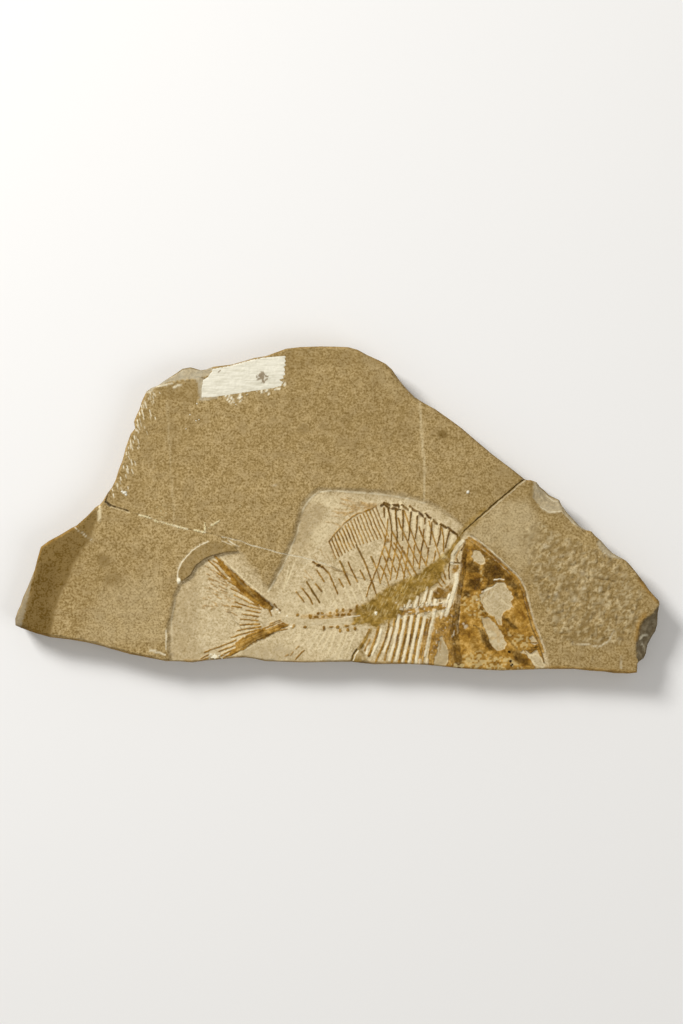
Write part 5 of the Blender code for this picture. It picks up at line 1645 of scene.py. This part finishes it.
# %% Shader sums
class Wire:
    """A socket of a material's tree that can be used in sums."""

    def __init__(self, tree, socket=None):
        self.tree = tree
        self.socket = socket

    def node(self, kind, settings, sockets, output=0):
        """Adds a node, sets it up, feeds its sockets and gives one of its outputs."""
        made = self.tree.nodes.new(kind)
        for name, value in settings.items():
            setattr(made, name, value)
        for name, value in sockets.items():
            if isinstance(value, Wire):
                self.tree.links.new(value.socket, made.inputs[name])
            else:
                made.inputs[name].default_value = value
        return Wire(self.tree, made.outputs[output])

    def math(self, operation, *values):
        """One step of a sum."""
        return self.node("ShaderNodeMath", {"operation": operation}, dict(enumerate(values)))

    def __add__(self, other):
        return self.math("ADD", self, other)

    def __radd__(self, other):
        return self.math("ADD", other, self)

    def __sub__(self, other):
        return self.math("SUBTRACT", self, other)

    def __rsub__(self, other):
        return self.math("SUBTRACT", other, self)

    def __mul__(self, other):
        return self.math("MULTIPLY", self, other)

    def __rmul__(self, other):
        return self.math("MULTIPLY", other, self)

    def held(self):
        """The value kept between 0 and 1."""
        return self.node("ShaderNodeClamp", {}, {"Value": self})

    def between(self, low, high):
        """0 below low, 1 above high, and straight between."""
        return self.node("ShaderNodeMapRange", {}, {"Value": self, "From Min": low, "From Max": high})

    def over(self, below, colour):
        """This value as a mask that lays a colour over the one below."""
        return self.node("ShaderNodeMix", {"data_type": "RGBA"}, {0: self.held(), 6: below, 7: colour}, 2)

    def feed(self, shader, socket):
        """Links this value to one of the shader's own sockets."""
        self.tree.links.new(self.socket, shader.inputs[socket])


def new_finish(name):
    """A new material, its shader, where its sums start and the places on the piece."""
    material = bpy.data.materials.new(name)
    material.use_nodes = True
    start = Wire(material.node_tree)
    places = start.node("ShaderNodeTexCoord", {}, {}, 3)
    return material, material.node_tree.nodes["Principled BSDF"], start, places


def grain(start, places, size, detail=3.0, roughness=0.65):
    """Random levels in lumps of a size in metres."""
    sockets = {"Vector": places, "Scale": 1 / size, "Detail": detail, "Roughness": roughness}
    return start.node("ShaderNodeTexNoise", {}, sockets)


def marks_of(start, name):
    """The three finishes that are kept in one colour attribute."""
    colour = start.node("ShaderNodeAttribute", {"attribute_name": name}, {})
    return [start.node("ShaderNodeSeparateColor", {}, {"Color": colour}, i) for i in range(3)]


print("sums ready")

# %% [markdown]
# The stone and bone finish. The limestone is a fine-grained tan, mottled in lumps of one, two and
# six millimetres, and paler in the hollow, where it was cut fresh. Each mark is laid over it in turn:
# stains and painted shade first, then bone from ochre to dark brown, with the dark that also paints
# shadows, then glue, and loose dust and painted highlights last. The grain's height goes into a Bump
# node, a quarter of a millimetre deep at most, because the grain is finer than the mesh. Bone and
# glue are a little glossier than stone.

# %% Stone and bone
TAN_LIGHT, TAN, TAN_DARK = (0.58, 0.440, 0.228, 1), (0.37, 0.258, 0.105, 1), (0.195, 0.122, 0.036, 1)
CREAM_LIGHT, CREAM, CREAM_DARK = (0.72, 0.60, 0.385, 1), (0.55, 0.436, 0.250, 1), (0.37, 0.278, 0.132, 1)
PALE, DUST_AND_HIGHLIGHT = (0.74, 0.62, 0.38, 1), (0.90, 0.83, 0.62, 1)
STAIN_AND_SHADE = (0.130, 0.073, 0.012, 1)
GREY, GREY_LIGHT = (0.125, 0.095, 0.052, 1), (0.21, 0.172, 0.108, 1)
GOLD, OCHRE = (0.60, 0.368, 0.105, 1), (0.36, 0.188, 0.028, 1)
BROWN, BLACK_BROWN = (0.18, 0.080, 0.008, 1), (0.028, 0.012, 0.002, 1)
OLIVE_LIGHT, OLIVE, PASTE = (0.40, 0.248, 0.052, 1), (0.175, 0.100, 0.014, 1), (0.66, 0.52, 0.24, 1)
GRAIN_SIZES = (0.00082, 0.0021, 0.0062, 0.045)
BUMP_DEPTH = 0.00026
SHINE = 0.05


def limestone(name):
    """The stone with its bones and all that is on it."""
    material, shader, start, places = new_finish(name)
    fine, middle, coarse, broad = (grain(start, places, size) for size in GRAIN_SIZES)
    bone, dark, glue_amount = marks_of(start, "bone_and_shadow_marks")
    hollow, pale, grey = marks_of(start, "stone_and_light_marks")
    dust, stain, fresh = marks_of(start, "loose_and_light_marks")

    speckle = 0.7 * fine + 0.3 * middle
    mottle = 0.45 * fine + 0.25 * middle + 0.30 * coarse
    plates = 0.20 * fine + 0.35 * middle + 0.45 * coarse
    colour = speckle.between(0.36, 0.54).over(TAN_DARK, TAN)
    colour = mottle.between(0.47, 0.64).over(colour, TAN_LIGHT)
    colour = (0.5 * coarse.between(0.46, 0.68)).over(colour, TAN_DARK)
    colour = (0.25 * broad.between(0.45, 0.7)).over(colour, TAN_DARK)
    cream = speckle.between(0.36, 0.50).over(CREAM_DARK, CREAM)
    cream = mottle.between(0.49, 0.61).over(cream, CREAM_LIGHT)
    cream = (0.4 * coarse.between(0.52, 0.66)).over(cream, CREAM_DARK)
    colour = hollow.over(colour, cream)
    # Pale stone, and the painted highlights that the pale finish also carries.
    colour = (pale * (0.6 + 0.4 * fine.between(0.36, 0.52))).over(colour, PALE)
    # Stains, and the painted shade that the stain finish also carries.
    colour = (stain * (0.12 + 1.0 * speckle.between(0.39, 0.57))).over(colour, STAIN_AND_SHADE)
    rock = middle.between(0.44, 0.66).over(GREY, GREY_LIGHT)
    colour = grey.over(colour, rock)
    bone_colour = plates.between(0.41, 0.51).over(BROWN, OCHRE)
    bone_colour = plates.between(0.51, 0.61).over(bone_colour, GOLD)
    colour = (bone * (0.88 + 0.3 * middle.between(0.36, 0.5))).over(colour, bone_colour)
    # Dark bone, and the painted shadows that the dark finish also carries.
    colour = (dark * (0.8 + 0.2 * fine.between(0.62, 0.40))).over(colour, BLACK_BROWN)
    olive = plates.between(0.42, 0.60).over(OLIVE, OLIVE_LIGHT)
    colour = (glue_amount * (0.9 + 0.3 * middle.between(0.60, 0.42))).over(colour, olive)
    colour = fresh.over(colour, PASTE)
    # Dust, and the painted highlights that the dust finish also carries.
    colour = dust.over(colour, DUST_AND_HIGHLIGHT)
    gloss = 0.92 - 0.30 * bone - 0.30 * glue_amount + 0.1 * fine
    height = fine * 0.6 + middle * 0.4
    bump = start.node("ShaderNodeBump", {}, {"Height": height, "Distance": BUMP_DEPTH, "Strength": 0.9})
    colour.feed(shader, "Base Color")
    gloss.held().feed(shader, "Roughness")
    bump.feed(shader, "Normal")
    shader.inputs["Specular IOR Level"].default_value = SHINE
    return material


for node, piece in fragments.items():
    piece.data.materials.append(limestone(node + "_limestone"))
print("stone finished")

# %% [markdown]
# The painted patch. Someone once painted a white field on the upper edge to write a number on. It
# is a thick, chalky brush mark with a ragged right end and a brown flaw. It could be a stain of the
# stone, but paint this thick has an edge that catches the light, so it is a thin skin of its own
# that follows the relief below.

# %% Painted patch
PATCH = [
    (201.5, 397.5), (201.5, 389), (203, 380), (208, 377), (211, 372), (212.4, 369), (230, 365.4),
    (250, 360), (262, 357.5), (274, 356.8), (285, 355.6), (286.6, 357), (284.4, 358.6), (286, 361),
    (284.6, 363), (286.4, 365), (283.6, 367), (285.4, 370), (284, 372), (285.6, 374.6), (282.6, 376),
    (284, 378.6), (279, 379.6), (280.6, 381), (283.4, 382), (281, 386), (272, 388.4), (260, 390),
    (250, 391.6), (240, 393), (230, 394.6), (220, 396), (210, 397.4),
]
PAINT_CELL = 0.30 * MM
PAINT_THICKNESS = 0.09 * MM
PAINT_ROOT = 0.25 * MM


def paint_level(x, y):
    """The height of the paint over the bare stone, thinner at its edge and streaked by the brush."""
    edge = nearest(x, y, closed(PATCH))[0]
    brush = rough(x * 0.25, y, 1.3, 40) - 0.5
    return relief_at(x, y, fish=False) + PAINT_THICKNESS * (ease(edge, 0, 1.2) + 0.5 * brush)


bm = sheet(PATCH, PAINT_CELL, fine=None)
lift(bm, paint_level)
feet, foot_edges = extruded(bm, [edge for edge in bm.edges if edge.is_boundary])
bmesh.ops.translate(bm, verts=feet, vec=(0, 0, -PAINT_ROOT))
bmesh.ops.edgeloop_fill(bm, edges=foot_edges)
patch = finished("painted_patch", bm)
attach(patch, "root")
print(f"painted patch: {len(patch.data.polygons)} faces")

# %% [markdown]
# The paint is chalky white with the brush's streaks, and the brown flaw shows the stone through a
# clover-shaped hole. A small blot near the left end is a worn spot too.

# %% Paint
PAINT_WHITE, PAINT_GREY, FLAW_BROWN = (0.76, 0.72, 0.585, 1), (0.60, 0.56, 0.43, 1), (0.26, 0.20, 0.12, 1)
FLAW_SPOTS = [
    (260, 374.4, 2.4), (263.6, 374, 2.2), (266.6, 376, 1.7), (262, 377.6, 2.6), (263, 381.4, 2.3),
    (258.6, 379, 1.8), (257, 376.6, 1.1), (266, 379.6, 1.3),
]
BLOT = (219.5, 371.5)
BRUSH_LINES, BRUSH_RELIEF = 0.0008, 0.00008


def paint():
    """White paint with brush streaks and a worn flaw."""
    material, shader, start, places = new_finish("white_paint")
    streaks = start.node("ShaderNodeMapping", {}, {"Vector": places, "Scale": (0.12, 1.0, 1.0)})
    brushed = grain(start, streaks, BRUSH_LINES)
    worn = start.node("ShaderNodeAttribute", {"attribute_name": "worn"}, {}, 2)
    colour = brushed.between(0.35, 0.6).over(PAINT_GREY, PAINT_WHITE)
    colour = worn.over(colour, FLAW_BROWN)
    bump = start.node("ShaderNodeBump", {}, {"Height": brushed, "Distance": BRUSH_RELIEF})
    colour.feed(shader, "Base Color")
    bump.feed(shader, "Normal")
    shader.inputs["Roughness"].default_value = 0.8
    return material


x, y = pixels(vertex_places(patch))
x, y = x + 2.6 * (rough(x, y, 2.2, 41) - 0.5), y + 2.6 * (rough(x, y, 2.2, 42) - 0.5)
worn = np.zeros(len(x))
for spot_x, spot_y, size in FLAW_SPOTS:
    worn = np.maximum(worn, 1 - ease(np.hypot(x - spot_x, y - spot_y), size - 0.7, size + 0.3))
blot = np.hypot(x - BLOT[0], y - BLOT[1])
worn = np.maximum(worn, 1 - ease(blot, 0.8, 1.6))
patch.data.attributes.new("worn", "FLOAT", "POINT").data.foreach_set("value", worn.astype(np.float32))
patch.data.materials.append(paint())
print(f"{(worn > 0.5).sum()} worn points")

# %% [markdown]
# Crumbs and flecks. Small lumps of dried paste stand along the left break, and drops of the white
# paint are scattered round the patch, with a few larger drops further off. Each is a ball of twenty
# faces, flattened and turned at random, and all of one kind are joined in one mesh.

# %% Crumbs and flecks
PAINT_DROPS = [
    (226, 396, 1.0), (229, 397.2, 0.8), (232, 399, 0.9), (234, 402.6, 0.8), (236, 404.6, 0.7),
    (239, 396, 0.8), (239.4, 399, 0.7), (242, 396.6, 0.9), (262, 392.6, 0.8), (266, 391.6, 0.7),
    (275, 389.8, 0.8), (284, 384.8, 1.0), (197, 403.6, 1.0), (190, 414.6, 0.8), (196, 420.6, 0.8),
    (199, 419.6, 0.7), (186, 428.8, 0.7), (124.4, 492.6, 2.8), (122.4, 491.6, 1.9), (126, 494.6, 1.6),
    (468, 492, 2.1), (257, 391.6, 0.6), (247, 394.4, 0.7),
]
PASTE_DRY, PASTE_DARK = (0.76, 0.68, 0.40, 1), (0.52, 0.41, 0.19, 1)
LUMP_GRAIN = 0.0012
CRUMBS = 110
CRUMB_RUNS = [run for run, width in PASTE_RUNS[:4] + PASTE_RUNS[7:9]]
LOOSE_CRUMBS = [
    (163, 505), (161, 511), (157, 507), (166, 513), (162, 517), (240, 506), (98, 512), (209, 528),
]
dice = np.random.default_rng(8)


def add_lump(bm, x, y, size, flat=0.5):
    """A flattened ball, half sunk in the face."""
    made = bmesh.ops.create_icosphere(bm, subdivisions=1, radius=1.0)["verts"]
    for vert in made:
        vert.co *= 1 + 0.35 * (dice.random() - 0.5)
    half = size * PIXEL
    bmesh.ops.scale(bm, verts=made, vec=(half, half * (0.6 + 0.5 * dice.random()), half * flat))
    turn = Matrix.Rotation(2 * math.pi * dice.random(), 3, "Z")
    bmesh.ops.rotate(bm, verts=made, cent=(0, 0, 0), matrix=turn)
    level = relief_at(np.array([x]), np.array([y]), fish=False)[0]
    bmesh.ops.translate(bm, verts=made, vec=place(x, y, level))


def plain(name, colour, roughness, variation):
    """A finish of one colour with grain of a darker one."""
    material, shader, start, places = new_finish(name)
    lumps = grain(start, places, LUMP_GRAIN)
    lumps.between(0.3, 0.6).over(variation, colour).feed(shader, "Base Color")
    shader.inputs["Roughness"].default_value = roughness
    return material


bm = bmesh.new()
for x, y, size in PAINT_DROPS:
    add_lump(bm, x, y, size, 0.3)
drops = finished("paint_drops", bm, 180)
drops.data.materials.append(plain("drop_paint", PAINT_WHITE, 0.75, PAINT_GREY))
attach(drops, "root")

bm = bmesh.new()
for i in range(CRUMBS):
    run = CRUMB_RUNS[i % len(CRUMB_RUNS)]
    step = dice.random() * (len(run) - 1)
    a, b = run[int(step)], run[int(step) + 1]
    t = step - int(step)
    add_lump(bm, a[0] + (b[0] - a[0]) * t + dice.normal(0, 0.5),
             a[1] + (b[1] - a[1]) * t + dice.normal(0, 0.6), 0.35 + 0.6 * dice.random())
for x, y in LOOSE_CRUMBS:
    add_lump(bm, x, y, 0.7)
crumbs = finished("paste_crumbs", bm, 180)
crumbs.data.materials.append(plain("dry_paste", PASTE_DRY, 0.9, PASTE_DARK))
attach(crumbs, "root")
print(f"{len(PAINT_DROPS)} drops and {CRUMBS + len(LOOSE_CRUMBS)} crumbs")
